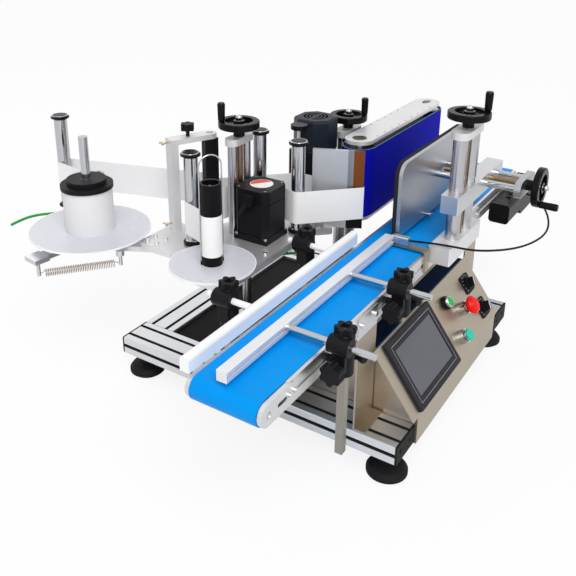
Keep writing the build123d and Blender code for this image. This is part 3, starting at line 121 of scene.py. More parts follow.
class Socket:
    """A number in a shader that takes part in plain expressions."""

    def __init__(self, shader: "Shader", link: Any) -> None:
        """Hold a node's output socket."""
        self.shader = shader
        self.link = link

    def maths(self, operation: str, *values: Any) -> "Socket":
        """Add one Math node.

        Args:
            operation: The node's operation.
            values: The numbers or sockets after this one.

        Returns:
            The node's result.
        """
        inputs = {index: value for index, value in enumerate((self, *values))}
        return self.shader.make("ShaderNodeMath", {"operation": operation}, inputs)

    def __add__(self, other: Any) -> "Socket":
        """This plus the other."""
        return self.maths("ADD", other)

    __radd__ = __add__

    def __sub__(self, other: Any) -> "Socket":
        """This less the other."""
        return self.maths("SUBTRACT", other)

    def __rsub__(self, other: Any) -> "Socket":
        """The other less this."""
        return self.shader.make("ShaderNodeMath", {"operation": "SUBTRACT"}, {0: other, 1: self})

    def __mul__(self, other: Any) -> "Socket":
        """This times the other."""
        return self.maths("MULTIPLY", other)

    __rmul__ = __mul__

    def __abs__(self) -> "Socket":
        """The size of this, without its sign."""
        return self.maths("ABSOLUTE")

    def __gt__(self, other: Any) -> "Socket":
        """1 where this is the larger, 0 elsewhere."""
        return self.maths("GREATER_THAN", other)

    def __lt__(self, other: Any) -> "Socket":
        """1 where this is the smaller, 0 elsewhere."""
        return self.maths("LESS_THAN", other)

    def between(self, low: float, high: float) -> "Socket":
        """1 between two values and 0 elsewhere."""
        return (self > low) * (self < high)

    def reach(self, other: "Socket") -> "Socket":
        """How far off a point is, from this offset and the one square to it."""
        return (self * self + other * other).maths("SQRT")


class Shader:
    """A material or a backdrop, and the nodes that it is made of."""

    def __init__(self, owner: Any) -> None:
        """Start an empty tree on a new material or world."""
        owner.use_nodes = True
        self.owner = owner
        self.tree = owner.node_tree
        self.tree.nodes.clear()
        self._axes: Optional[tuple[Socket, Socket, Socket]] = None

    def make(self, kind: str, settings: dict[str, Any], inputs: dict[Any, Any], output: Any = 0) -> Socket:
        """Add a node.

        Args:
            kind: Blender's name for the node.
            settings: Attributes set first.
            inputs: Values or sockets by input name or index.
            output: The name or index of the output wanted.

        Returns:
            That output.
        """
        node = self.tree.nodes.new(kind)
        for key, value in settings.items():
            setattr(node, key, value)
        for key, value in inputs.items():
            target = node.inputs[key]
            if isinstance(value, Socket):
                self.tree.links.new(value.link, target)
            else:
                target.default_value = (*value, 1.0) if target.type == "RGBA" else value
        return Socket(self, node.outputs[output])

    def place(self) -> Socket:
        """The point on the piece, in the model's frame at rest."""
        return self.make("ShaderNodeTexCoord", {}, {}, "Object")

    def axes(self) -> tuple[Socket, Socket, Socket]:
        """The point's three coordinates, in metres."""
        if self._axes is None:
            apart = self.make("ShaderNodeSeparateXYZ", {}, {0: self.place()}).link.node
            self._axes = tuple(Socket(self, out) for out in apart.outputs)
        return self._axes

    def noise(self, scale: Point, detail: float = 3.0) -> Socket:
        """Cloudy noise, stretched by a scale for each axis.

        Args:
            scale: Waves per metre along X, Y and Z.
            detail: How many finer layers are added.

        Returns:
            A value about 0.5.
        """
        spot = self.make("ShaderNodeVectorMath", {"operation": "MULTIPLY"}, {0: self.place(), 1: scale})
        return self.make("ShaderNodeTexNoise", {}, {"Vector": spot, "Scale": 1.0, "Detail": detail}, "Fac")

    def tint(self, factor: Any, low: Colour, high: Colour) -> Socket:
        """Mix two colours: 0 gives the low one and 1 the high one."""
        return self.make("ShaderNodeMix", {"data_type": "RGBA"}, {0: factor, 6: low, 7: high}, 2)

    def mix(self, factor: Socket, first: Socket, second: Socket) -> Socket:
        """Mix two surfaces: 0 gives the first one and 1 the second."""
        return self.make("ShaderNodeMixShader", {}, {0: factor, 1: first, 2: second})

    def bump(self, height: Socket, depth: float) -> Socket:
        """A normal roughened by a pattern of a depth in metres."""
        inputs = {"Height": height, "Distance": depth, "Strength": 1.0}
        return self.make("ShaderNodeBump", {}, inputs, "Normal")

    def surface(self, tone: Any, rough: Any, more: dict[str, Any]) -> Socket:
        """Add a Principled surface.

        Args:
            tone: Its colour.
            rough: Its roughness.
            more: Its other inputs by name.

        Returns:
            The surface.
        """
        inputs = {"Base Color": tone, "Roughness": rough, **more}
        return self.make("ShaderNodeBsdfPrincipled", {}, inputs, "BSDF")

    def finish(self, surface: Socket, kind: str = "ShaderNodeOutputMaterial") -> Any:
        """Connect the surface to the output and return what the nodes belong to."""
        output = self.tree.nodes.new(kind)
        self.tree.links.new(surface.link, output.inputs["Surface"])
        return self.owner


class Grain(Enum):
    """The way that a metal's brushing runs."""

    ALONG_X = (12.0, 900.0, 900.0)
    ALONG_Y = (900.0, 12.0, 900.0)
    ALONG_Z = (900.0, 900.0, 12.0)
    CLOUDY = (160.0, 160.0, 160.0)


class Finish(Protocol):
    """Anything that can lay a surface on a shader."""

    def lay(self, shader: Shader) -> Socket:
        """Add the finish's nodes and return its surface."""


@dataclass(frozen=True)
class Metal:
    """Bare or plated metal with a fine brushed grain."""

    colour: Colour
    roughness: float
    grain: Grain = Grain.CLOUDY
    depth: float = 0.00001
    spread: float = 0.10
    metallic: float = 1.0

    def lay(self, shader: Shader) -> Socket:
        """Add the metal's nodes and return its surface."""
        streak = shader.noise(self.grain.value)
        cloud = shader.noise((9.0, 9.0, 9.0), 2.0)
        tone = shader.tint(cloud, shade(self.colour, 0.88), self.colour)
        rough = self.roughness + self.spread * (streak - 0.5) + 0.08 * (cloud - 0.5)
        more = {"Metallic": self.metallic, "Normal": shader.bump(streak, self.depth)}
        return shader.surface(tone, rough, more)


@dataclass(frozen=True)
class Moulded:
    """Moulded plastic, rubber or paint with a fine grain."""

    colour: Colour
    roughness: float = 0.45
    grain: float = 1400.0
    depth: float = 0.00003
    shine: float = 0.12

    def lay(self, shader: Shader) -> Socket:
        """Add the moulding's nodes and return its surface."""
        fine = shader.noise((self.grain, self.grain, self.grain), 2.0)
        cloud = shader.noise((14.0, 14.0, 14.0), 3.0)
        light = tuple(min(1.0, level * 1.15 + 0.001) for level in self.colour)
        tone = shader.tint(cloud, self.colour, light)
        more = {"Specular IOR Level": self.shine, "Normal": shader.bump(fine, self.depth)}
        return shader.surface(tone, self.roughness + 0.12 * (cloud - 0.5), more)


@dataclass(frozen=True)
class BeltCloth:
    """Coated belting with a faint woven face and rubbed patches."""

    colour: Colour
    rubbed: Colour
    roughness: float
    shine: float
    threads: float = 4200.0
    depth: float = 0.00002

    def lay(self, shader: Shader) -> Socket:
        """Add the belting's nodes and return its surface."""
        x, y, z = shader.axes()
        weave = (x * self.threads).maths("SINE") * ((y + z) * self.threads).maths("SINE")
        cloud = shader.noise((5.0, 9.0, 9.0), 4.0)
        tone = shader.tint(cloud, self.colour, self.rubbed)
        more = {"Specular IOR Level": self.shine, "Normal": shader.bump(weave, self.depth)}
        return shader.surface(tone, self.roughness + 0.16 * (cloud - 0.5), more)


@dataclass(frozen=True)
class Paper:
    """Label stock: matt white with a faint fibre."""

    colour: Colour = (0.95, 0.95, 0.955)
    depth: float = 0.00001

    def lay(self, shader: Shader) -> Socket:
        """Add the paper's nodes and return its surface."""
        fibre = shader.noise((700.0, 700.0, 2400.0), 4.0)
        tone = shader.tint(fibre, shade(self.colour, 0.96), self.colour)
        return shader.surface(tone, 0.62 + 0.1 * fibre, {"Normal": shader.bump(fibre, self.depth)})


@dataclass(frozen=True)
class RolledPaper:
    """The edge and face of a tight roll, with its turns showing on top."""

    centre: Plan
    colour: Colour = (0.86, 0.86, 0.87)
    turns: float = 5200.0
    depth: float = 0.00002

    def lay(self, shader: Shader) -> Socket:
        """Add the roll's nodes and return its surface."""
        x, y, _ = shader.axes()
        radius = (x - self.centre[0]).reach(y - self.centre[1])
        wave = (radius * self.turns).maths("SINE")
        tone = shader.tint(0.5 + 0.5 * wave, shade(self.colour, 0.9), self.colour)
        return shader.surface(tone, 0.7, {"Normal": shader.bump(wave, self.depth)})


@dataclass(frozen=True)
class Foam:
    """Dense black foam with open cells."""

    colour: Colour = (0.012, 0.012, 0.014)
    cells: float = 520.0
    depth: float = 0.0004

    def lay(self, shader: Shader) -> Socket:
        """Add the foam's nodes and return its surface."""
        inputs = {"Vector": shader.place(), "Scale": self.cells}
        cell = shader.make("ShaderNodeTexVoronoi", {}, inputs, "Distance")
        tone = shader.tint(cell, self.colour, shade(self.colour, 3))
        more = {"Specular IOR Level": 0.1, "Normal": shader.bump(cell, self.depth)}
        return shader.surface(tone, 0.9, more)


@dataclass(frozen=True)
class Milky:
    """Milky see-through sheet plastic."""

    colour: Colour = (0.72, 0.73, 0.79)
    alpha: float = 0.88
    coat: float = 0.3

    def lay(self, shader: Shader) -> Socket:
        """Add the sheet's nodes and return its surface."""
        cloud = shader.noise((6.0, 6.0, 6.0), 1.0)
        tone = shader.tint(cloud, shade(self.colour, 0.97), self.colour)
        return shader.surface(tone, 0.22 + 0.1 * cloud, {"Alpha": self.alpha, "Coat Weight": self.coat})


class Region(Protocol):
    """A part of space, as a mask."""

    def mask(self, shader: Shader) -> Socket:
        """1 inside the region and 0 outside."""


@dataclass(frozen=True)
class Between:
    """The space between two levels along one axis."""

    axis: int
    low: float = -FAR
    high: float = FAR

    def mask(self, shader: Shader) -> Socket:
        """1 between the levels and 0 elsewhere."""
        return shader.axes()[self.axis].between(self.low, self.high)


@dataclass(frozen=True)
class Round:
    """The space between two distances from an upright line, or from one along another axis."""

    centre: Plan
    low: float = -1.0
    high: float = FAR
    plane: tuple[int, int] = (0, 1)

    def mask(self, shader: Shader) -> Socket:
        """1 between the distances and 0 elsewhere."""
        u, v = (shader.axes()[axis] for axis in self.plane)
        return (u - self.centre[0]).reach(v - self.centre[1]).between(self.low, self.high)


@dataclass(frozen=True)
class Along:
    """The space past a point in a flat direction."""

    point: Plan
    direction: Plan
    reach: float

    def mask(self, shader: Shader) -> Socket:
        """1 beyond the reach and 0 before it."""
        x, y, _ = shader.axes()
        run = (x - self.point[0]) * self.direction[0] + (y - self.point[1]) * self.direction[1]
        return run > self.reach


@dataclass(frozen=True)
class Oblong:
    """The space between two distances from a straight run along X."""

    run: Plan
    middle_y: float
    low: float
    high: float

    def mask(self, shader: Shader) -> Socket:
        """1 between the distances and 0 elsewhere."""
        x, y, _ = shader.axes()
        past = abs(x - (self.run[0] + self.run[1]) / 2) - (self.run[1] - self.run[0]) / 2
        return past.maths("MAXIMUM", 0.0).reach(y - self.middle_y).between(self.low, self.high)


@dataclass(frozen=True)
class Slots:
    """Ring slots about an upright line, parted by a straight bridge."""

    centre: Plan
    radii: tuple[float, ...]
    half: float
    bridge: float
    above: float

    def mask(self, shader: Shader) -> Socket:
        """1 in a slot and 0 elsewhere."""
        x, y, z = shader.axes()
        across = y - self.centre[1]
        radius = (x - self.centre[0]).reach(across)
        inside = 0.0
        for reach in self.radii:
            inside = (abs(radius - reach) < self.half) + inside
        return inside * (abs(across) > self.bridge) * (z > self.above)


@dataclass(frozen=True)
class Panel:
    """The sloped panel's own directions: across, down the slope and out of it."""

    top_y: float = (-251.0 - DATUM_Y) / 1000
    top_z: float = 0.235
    slope: float = math.radians(53.5)

    def down(self, shader: Shader) -> Socket:
        """How far down the slope a point lies, in metres."""
        _, y, z = shader.axes()
        return (self.top_y - y) * math.cos(self.slope) + (self.top_z - z) * math.sin(self.slope)

    def out(self, shader: Shader) -> Socket:
        """How far a point stands out of the panel, in metres."""
        _, y, z = shader.axes()
        return (self.top_y - y) * math.sin(self.slope) + (z - self.top_z) * math.cos(self.slope)

    def point(self, across: float, down: float, out: float) -> Point:
        """A place on the panel, from millimetres across, down and out."""
        y = self.top_y * 1000 + DATUM_Y - down * math.cos(self.slope) - out * math.sin(self.slope)
        z = self.top_z * 1000 - down * math.sin(self.slope) + out * math.cos(self.slope)
        return row(across, y, z)

    def turn(self) -> Matrix:
        """The panel's directions as a rotation: across, up the slope, out."""
        up = Vector((0, math.cos(self.slope), math.sin(self.slope)))
        out = Vector((0, -math.sin(self.slope), math.cos(self.slope)))
        return Matrix((Vector((1, 0, 0)), up, out)).transposed().to_4x4()


PANEL = Panel()


@dataclass(frozen=True)
class PanelFrame:
    """A rectangular band on the panel, between two sizes about one centre."""

    centre: Plan
    outer: Plan
    inner: Plan = (0.0, 0.0)

    def mask(self, shader: Shader) -> Socket:
        """1 on the band and 0 elsewhere."""
        x = abs(shader.axes()[0] - plan(self.centre[0], 0.0)[0])
        s = abs(PANEL.down(shader) - self.centre[1] / 1000)
        inside = (x < self.outer[0] / 2000) * (s < self.outer[1] / 2000)
        if self.inner[0] <= 0:
            return inside
        return inside - (x < self.inner[0] / 2000) * (s < self.inner[1] / 2000)


@dataclass(frozen=True)
class PanelSpot:
    """A round spot on the panel, above a height."""

    centre: Plan
    radius: float
    above: float = -1.0

    def mask(self, shader: Shader) -> Socket:
        """1 on the spot and 0 elsewhere."""
        x = shader.axes()[0] - plan(self.centre[0], 0.0)[0]
        s = PANEL.down(shader) - self.centre[1] / 1000
        near = x.reach(s) < self.radius / 1000
        return near * (PANEL.out(shader) > self.above / 1000)


@dataclass(frozen=True)
class Both:
    """Where two regions overlap."""

    first: Region
    second: Region

    def mask(self, shader: Shader) -> Socket:
        """1 where both are and 0 elsewhere."""
        return self.first.mask(shader) * self.second.mask(shader)


@dataclass(frozen=True)
class Parted:
    """A base finish with other finishes laid over regions of it."""

    base: Finish
    over: tuple[tuple[Region, Finish], ...]

    def lay(self, shader: Shader) -> Socket:
        """Add every finish and mix them by region."""
        surface = self.base.lay(shader)
        for region, finish in self.over:
            surface = shader.mix(region.mask(shader), surface, finish.lay(shader))
        return surface


# Finishes of the machine's parts
ALUMINIUM = Metal((0.66, 0.67, 0.69), 0.36)
SATIN_ALUMINIUM = Metal((0.80, 0.80, 0.81), 0.46, metallic=0.55)
PLATE_ALUMINIUM = Metal((0.80, 0.80, 0.81), 0.34, metallic=0.75)
PRESSED_ALUMINIUM = Metal((0.46, 0.47, 0.50), 0.32, Grain.ALONG_X)
RAIL_ALUMINIUM = Metal((0.74, 0.75, 0.76), 0.36, Grain.ALONG_X)
GUIDE_ALUMINIUM = Metal((0.88, 0.88, 0.90), 0.42, Grain.ALONG_X, metallic=0.5)
BEAM_ALUMINIUM = Metal((0.74, 0.75, 0.77), 0.40, Grain.ALONG_Y)
STAINLESS = Metal(srgb(181, 170, 154), 0.38, Grain.ALONG_X, 0.00002)
POST_STEEL = Metal(srgb(152, 147, 139), 0.22, Grain.ALONG_Z)
COLUMN_STEEL = Metal((0.54, 0.53, 0.56), 0.25, Grain.ALONG_Z)
CHROME = Metal((0.56, 0.57, 0.59), 0.12, Grain.ALONG_Z, 0.000004, 0.05)
STEEL = Metal((0.58, 0.59, 0.61), 0.26)
BRASS = Metal(srgb(196, 182, 158), 0.30)
SCREW_STEEL = Metal(srgb(150, 128, 102), 0.30)
OLIVE_STEEL = Metal(srgb(96, 94, 78), 0.36)
SHADED_ALUMINIUM = Metal((0.34, 0.34, 0.35), 0.34, Grain.ALONG_Z)
BRONZE = Metal(srgb(140, 84, 44), 0.46, Grain.ALONG_Z)
BLACK = Moulded(srgb(20, 20, 23), 0.44)
BLACK_GLOSS = Moulded(srgb(12, 12, 14), 0.26, 900.0, 0.00001)
RUBBER = Moulded(srgb(22, 22, 24), 0.62, 700.0, 0.00006)
BLACK_PAINT = Moulded(srgb(20, 20, 23), 0.36, 1600.0, 0.00002)
# Near-black, barely shiny sheet between the beams: painted shade of the gap under the conveyor
PAN_SHADE_BLACK = Moulded(srgb(10, 10, 12), 0.40, 1600.0, 0.00002, 0.05)
# Dark navy for the cabinet's top behind the panel: black paint, darkened as painted shade and tinted navy as
# a painted reflection of the blue belt
DARK_TOP_SHADE_SHEEN = Moulded(srgb(10, 14, 30), 0.30, 1600.0, 0.00001)
MOTOR_GREY = Moulded(srgb(32, 37, 46), 0.40, 1200.0, 0.00004)
# Near-black rings for the motor's fan slots: painted shade of their openings
SLOT_SHADE_BLACK = Moulded(srgb(6, 6, 7), 0.7)
# Dark grey for the insides of the beams' slots: painted shade in the recesses
SLOT_SHADE_GREY = Moulded(srgb(42, 42, 41), 0.6)
SPONGE = Moulded(srgb(14, 18, 18), 0.8, 500.0, 0.0002)
PALE_GREEN = Moulded(srgb(150, 190, 160), 0.6)
ORANGE = Moulded(srgb(222, 92, 60), 0.4)
WHITE = Moulded(srgb(238, 240, 243), 0.40, shine=0.3)
GREEN = Moulded(srgb(6, 176, 72), 0.28, 1400.0, 0.00001, 0.2)
TEAL = Moulded(srgb(34, 190, 160), 0.28, 1400.0, 0.00001, 0.2)
RED = Moulded(srgb(228, 18, 12), 0.30, 1400.0, 0.00001, 0.15)
CORD_GREEN = Moulded(srgb(28, 150, 62), 0.36)
SCREEN_GREY = Moulded(srgb(92, 92, 100), 0.16, 2000.0, 0.000001, 0.2)
LINE_GREY = Moulded(srgb(176, 178, 182), 0.4)
BEZEL = Moulded(srgb(38, 38, 43), 0.34, 1600.0, 0.00001)
CONVEYOR_BLUE = BeltCloth(srgb(0, 138, 228), srgb(0, 156, 238), 0.38, 0.08)
WRAP_BLUE = BeltCloth(srgb(14, 16, 164), srgb(20, 24, 182), 0.6, 0.04)

# The bright nut in a handwheel, in metres
NUT_R = 0.0074


def heading(start: Plan, end: Plan) -> Plan:
    """The unit direction from one place to another."""
    length = math.dist(start, end)
    return ((end[0] - start[0]) / length, (end[1] - start[1]) / length)


def partway(start: Plan, end: Plan, share: float) -> Plan:
    """The place at a share of the way from one place to another."""
    return (start[0] + (end[0] - start[0]) * share, start[1] + (end[1] - start[1]) * share)


def strip_of(axis: int, low: float, high: float) -> Between:
    """The space between two of the machine's own measures along X or Y, in millimetres."""
    datum = (DATUM_X, DATUM_Y)[axis]
    return Between(axis, (low - datum) / 1000, (high - datum) / 1000)


def wheel_finish(centre: Plan, screw: Region, plane: tuple[int, int] = (0, 1)) -> Parted:
    """Black wheel with a bright nut at its middle and a darker screw below it.

    Args:
        centre: The wheel's axis in the plane.
        screw: Where the screw is.
        plane: The two axes that the wheel turns in.

    Returns:
        The finish.
    """
    middle = Round(centre, -1.0, NUT_R, plane)
    return Parted(BLACK_GLOSS, ((middle, CHROME), (Both(middle, screw), SCREW_STEEL)))


class Workshop:
    """Puts meshes and finishes on the model's bodies."""

    crease = math.radians(38)

    def __init__(self, nodes: dict[str, Any]) -> None:
        """Hold the solid model's nodes."""
        self.nodes = nodes
        self.made: dict[Finish, bpy.types.Material] = {}

    def material(self, name: str, finish: Finish) -> bpy.types.Material:
        """The material of a finish, made once.

        Args:
            name: What the material is called if it is new.
            finish: The finish.

        Returns:
            The material.
        """
        if finish not in self.made:
            shader = Shader(bpy.data.materials.new(name))
            self.made[finish] = shader.finish(finish.lay(shader))
        return self.made[finish]

    def dress(self, **finishes: Finish) -> None:
        """Give the solids' own objects their finishes, by node."""
        for node, finish in finishes.items():
            material = self.material(node, finish)
            for slot in self.nodes[node].material_slots:
                slot.material = material

    def piece(self, name: str, shape: Shape, finish: Finish, smooth: bool = True) -> bpy.types.Object:
        """Turn a shape into a finished object.

        Args:
            name: The object's name.
            shape: The shape, which is used up.
            finish: Its finish.
            smooth: Whether its faces are shaded smooth.

        Returns:
            The object.
        """
        bmesh.ops.recalc_face_normals(shape, faces=shape.faces)
        mesh = bpy.data.meshes.new(name)
        shape.to_mesh(mesh)
        shape.free()
        for face in mesh.polygons:
            face.use_smooth = smooth
        mesh.materials.append(self.material(name, finish))
        thing = bpy.data.objects.new(name, mesh)
        bpy.context.scene.collection.objects.link(thing)
        if smooth:
            mesh.set_sharp_from_angle(angle=self.crease)
        LOG.info("made %s with %d faces", name, len(mesh.polygons))
        return thing


def frame_of(axis: Vector) -> tuple[Vector, Vector]:
    """Two directions square to an axis and to each other."""
    side = Vector((0, 0, 1)) if abs(axis.z) < 0.9 else Vector((1, 0, 0))
    u = side.cross(axis).normalized()
    return u, axis.cross(u).normalized()


def ring(shape: Shape, centre: Vector, axis: Vector, radius: float, count: int, corners: int = 0) -> list:
    """A loop of points about an axis.

    Args:
        shape: The shape that takes the points.
        centre: The loop's middle.
        axis: The direction it faces.
        radius: Its radius, or that of its flats where it has corners.
        count: The number of points.
        corners: The number of corners of a polygon, or 0 for a circle.

    Returns:
        The points.
    """
    u, v = frame_of(axis)
    points = []
    for k in range(count):
        angle = 2 * math.pi * k / count
        reach = radius
        if corners:
            sector = 2 * math.pi / corners
            reach = radius / math.cos((angle % sector) - sector / 2)
        spot = centre + u * (reach * math.cos(angle)) + v * (reach * math.sin(angle))
        points.append(shape.verts.new(spot))
    return points


def bridge(shape: Shape, first: list, second: list) -> None:
    """Faces between two loops of the same length."""
    count = len(first)
    for k in range(count):
        shape.faces.new((first[k], first[(k + 1) % count], second[(k + 1) % count], second[k]))


def skin(shape: Shape, loops: Sequence[list]) -> None:
    """Faces from each loop to the next, and a face at both ends."""
    for first, second in zip(loops, loops[1:]):
        bridge(shape, first, second)
    shape.faces.new(loops[-1])
    shape.faces.new(list(reversed(loops[0])))


def turned(shape: Shape, foot: Point, axis: Point, levels: Sequence[tuple], count: int = 24) -> None:
    """A turned piece standing on a face.

    Args:
        shape: The shape that it is added to.
        foot: The middle of its underside.
        axis: The way that it stands.
        levels: Height and radius of each edge in metres, from the foot up, and its corners if any.
        count: The number of sides.
    """
    base, up = Vector(foot), Vector(axis).normalized()
    loops = [ring(shape, base + up * rise, up, reach, count, *more) for rise, reach, *more in levels]
    skin(shape, loops)


def cap_screw(shape: Shape, foot: Point, axis: Point, radius: float, height: float) -> None:
    """A socket-head screw standing on a face.

    Args:
        shape: The shape that it is added to.
        foot: The middle of its underside.
        axis: The way that it stands.
        radius: The head's radius.
        height: The head's height.
    """
    rim, socket = radius * 0.9, radius * 0.48
    outside = ((0.0, radius), (height * 0.86, radius), (height, rim))
    turned(shape, foot, axis, (*outside, (height, socket, 6), (height * 0.45, socket, 6)))


def tube(shape: Shape, points: Sequence[Vector], radius: float, count: int) -> None:
    """A round bar along a line of points.

    Args:
        shape: The shape that it is added to.
        points: The points of its middle line.
        radius: Its radius.
        count: The number of sides.
    """
    loops = []
    for k, point in enumerate(points):
        ahead = points[min(k + 1, len(points) - 1)] - points[max(k - 1, 0)]
        loops.append(ring(shape, point, ahead.normalized(), radius, count))
    skin(shape, loops)


def wing_screw(shape: Shape, foot: Point, axis: Point, length: float) -> None:
    """A thumb screw: a shank, a collar and two rounded wings.

    Args:
        shape: The shape that it is added to.
        foot: Where the shank leaves the face.
        axis: The way that it points.
        length: How far it stands out, in metres.
    """
    up = Vector(axis).normalized()
    u, _ = frame_of(up)
    hub, shank_r = 0.36 * length, 0.0021
    neck = length - hub
    turned(shape, foot, axis, ((0.0, shank_r), (neck, shank_r), (neck, 0.0038), (length, 0.0030)), 16)
    tip = Vector(foot) + up * (length - 0.5 * hub)
    wing = ((0.002, 0.0), (0.005, 0.0014), (0.0085, 0.005))
    for side in (-1, 1):
        tube(shape, [tip + u * (side * reach) + up * rise for reach, rise in wing], 0.0019, 8)


def slab(shape: Shape, turn: Matrix, centre: Point, size: Point) -> None:
    """A small block, turned and placed.

    Args:
        shape: The shape that it is added to.
        turn: Its rotation.
        centre: Its middle.
        size: Its three sides.
    """
    made = bmesh.ops.create_cube(shape, size=1.0)["verts"]
    bmesh.ops.scale(shape, vec=Vector(size), verts=made)
    bmesh.ops.transform(shape, matrix=Matrix.Translation(Vector(centre)) @ turn, verts=made)


@dataclass
class Base:
    """Beams, feet and pan, with the screws of the end caps."""

    span: float = 554.0
    half_width: float = 336.0
    beam_top: float = 97.0
    beam_half: float = 40.0
    slot_aside: float = 20.0
    slot_half: float = 8.0
    slot_floor: float = 80.0
    lip: float = 0.4
    gap: float = 1.0
    cap_screw: Plan = (0.0038, 0.0012)

    def slots(self) -> tuple[Region, ...]:
        """The insides of the slots that show: in the top faces and in the near face."""
        half, middle = self.slot_half, self.beam_half
        depth = Between(2, self.slot_floor / 1000, (self.beam_top - self.lip) / 1000)
        rear = strip_of(0, 2 * middle + self.gap, self.span - self.gap)
        found = []
        for aside in (-self.slot_aside, self.slot_aside):
            for x in (middle + aside, self.span + middle + aside):
                found.append(Both(strip_of(0, x - half, x + half), depth))
            y = self.half_width - middle + aside
            found.append(Both(Both(strip_of(1, y - half, y + half), rear), depth))
        level = self.beam_top - self.slot_aside
        near = strip_of(0, self.lip, self.slot_aside - half)
        found.append(Both(near, Between(2, (level - half) / 1000, (level + half) / 1000)))
        return tuple(found)

    def build(self, shop: Workshop) -> None:
        """Dress the base and add the cap screws.

        Args:
            shop: Where pieces are made.
        """
        # The slots' insides are painted dark grey as painted shade
        beams = Parted(BEAM_ALUMINIUM, tuple((slot, SLOT_SHADE_GREY) for slot in self.slots()))
        # The pan is painted near-black as the shade between the beams
        shop.dress(feet_and_caps=RUBBER, base_pan=PAN_SHADE_BLACK, base_beams=beams)
        shape = bmesh.new()
        for x in (self.beam_half, self.span + self.beam_half):
            for side in (-1, 1):
                for aside in (-self.slot_aside, self.slot_aside):
                    foot = row(x + aside, side * self.half_width, self.beam_top - self.slot_aside)
                    cap_screw(shape, foot, (0, side, 0), *self.cap_screw)
        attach(shop.piece("cap_screws", shape, BLACK), "frame")


@dataclass
class Conveyor:
    """Belt, rollers, rails, legs and drive motor."""

    leg_top: float = 0.290

    def build(self, shop: Workshop) -> None:
        """Dress the conveyor.

        Args:
            shop: Where pieces are made.
        """
        legs = Between(2, 0.0, self.leg_top)
        shop.dress(
            conveyor_frame=Parted(RAIL_ALUMINIUM, ((legs, STAINLESS),)),
            conveyor_belt=CONVEYOR_BLUE,
            conveyor_tail_roller=CHROME,
            conveyor_drive_roller=CHROME,
            conveyor_motor=BLACK_PAINT,
        )


@dataclass
class Cabinet:
    """Control cabinet with its panel."""

    screen_at: Plan = (197.0, 76.0)
    line_sizes: tuple[Plan, Plan] = ((181.4, 119.4), (180.0, 118.0))
    window_size: Plan = (164.0, 98.0)
    start_at: Plan = (364.0, 40.0)
    stop_at: Plan = (409.0, 76.0)
    reset_at: Plan = (352.0, 118.0)
    collar_r: float = 16.0
    start_face: Plan = (10.4, 13.0)
    reset_face: Plan = (13.4, 21.6)
    stop_face: Plan = (30.0, 19.6)
    top_from: float = 0.2342
    top_back: float = 0.003
    dials_at: tuple[Plan, Plan] = ((488.0, 47.0), (496.0, 113.0))
    marks: int = 11
    marks_r: float = 18.6
    marks_from: float = 225.0
    marks_step: float = 27.0
    mark_size: Point = (0.0028, 0.0007, 0.0003)
    mark_out: float = 3.1
    pointer: float = 60.0
    line_size: Point = (0.0205, 0.0024, 0.0006)
    line_out: float = 21.4

    def build(self, shop: Workshop) -> None:
        """Dress the cabinet and mark its dials.

        Args:
            shop: Where pieces are made.
        """
        # The cabinet's top behind the panel is painted dark navy: painted shade with a painted blue
        # reflection
        top = Both(Between(2, self.top_from), Between(1, PANEL.top_y + self.top_back))
        outline = PanelFrame(self.screen_at, *self.line_sizes)
        window = PanelFrame(self.screen_at, self.window_size)
        collars = tuple((PanelSpot(at, self.collar_r), CHROME) for at in (self.reset_at, self.stop_at))
        shop.dress(
            control_cabinet=Parted(STAINLESS, ((top, DARK_TOP_SHADE_SHEEN),)),
            touch_screen=Parted(BEZEL, ((outline, LINE_GREY), (window, SCREEN_GREY))),
            panel_bezels=Parted(BLACK, collars),
            start_button=Parted(CHROME, ((PanelSpot(self.start_at, *self.start_face), GREEN),)),
            reset_button=Parted(CHROME, ((PanelSpot(self.reset_at, *self.reset_face), TEAL),)),
            stop_mushroom=Parted(CHROME, ((PanelSpot(self.stop_at, *self.stop_face), RED),)),
            speed_knob_upper=BLACK,
            speed_knob_lower=BLACK,
        )
        for name, at in zip(("upper", "lower"), self.dials_at):
            self.mark_dial(shop, name, at)

    def mark_dial(self, shop: Workshop, name: str, at: Plan) -> None:
        """Add the scale marks round a dial and the line on its knob.

        Args:
            shop: Where pieces are made.
            name: Which dial it is.
            at: Its middle on the panel.
        """
        marks = bmesh.new()
        for k in range(self.marks):
            angle = math.radians(self.marks_from - self.marks_step * k)
            turn = PANEL.turn() @ Matrix.Rotation(angle, 4, "Z")
            across = at[0] + self.marks_r * math.cos(angle)
            down = at[1] - self.marks_r * math.sin(angle)
            slab(marks, turn, PANEL.point(across, down, self.mark_out), self.mark_size)
        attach(shop.piece(f"dial_marks_{name}", marks, WHITE, False), "frame")
        line = bmesh.new()
        turn = PANEL.turn() @ Matrix.Rotation(math.radians(self.pointer), 4, "Z")
        slab(line, turn, PANEL.point(*at, self.line_out), self.line_size)
        slab(line, turn, PANEL.point(at[0] + 5.6, at[1] - 9.7, 17.5), (0.0008, 0.0024, 0.0076))
        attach(shop.piece(f"knob_line_{name}", line, WHITE, False), f"{name}_speed")


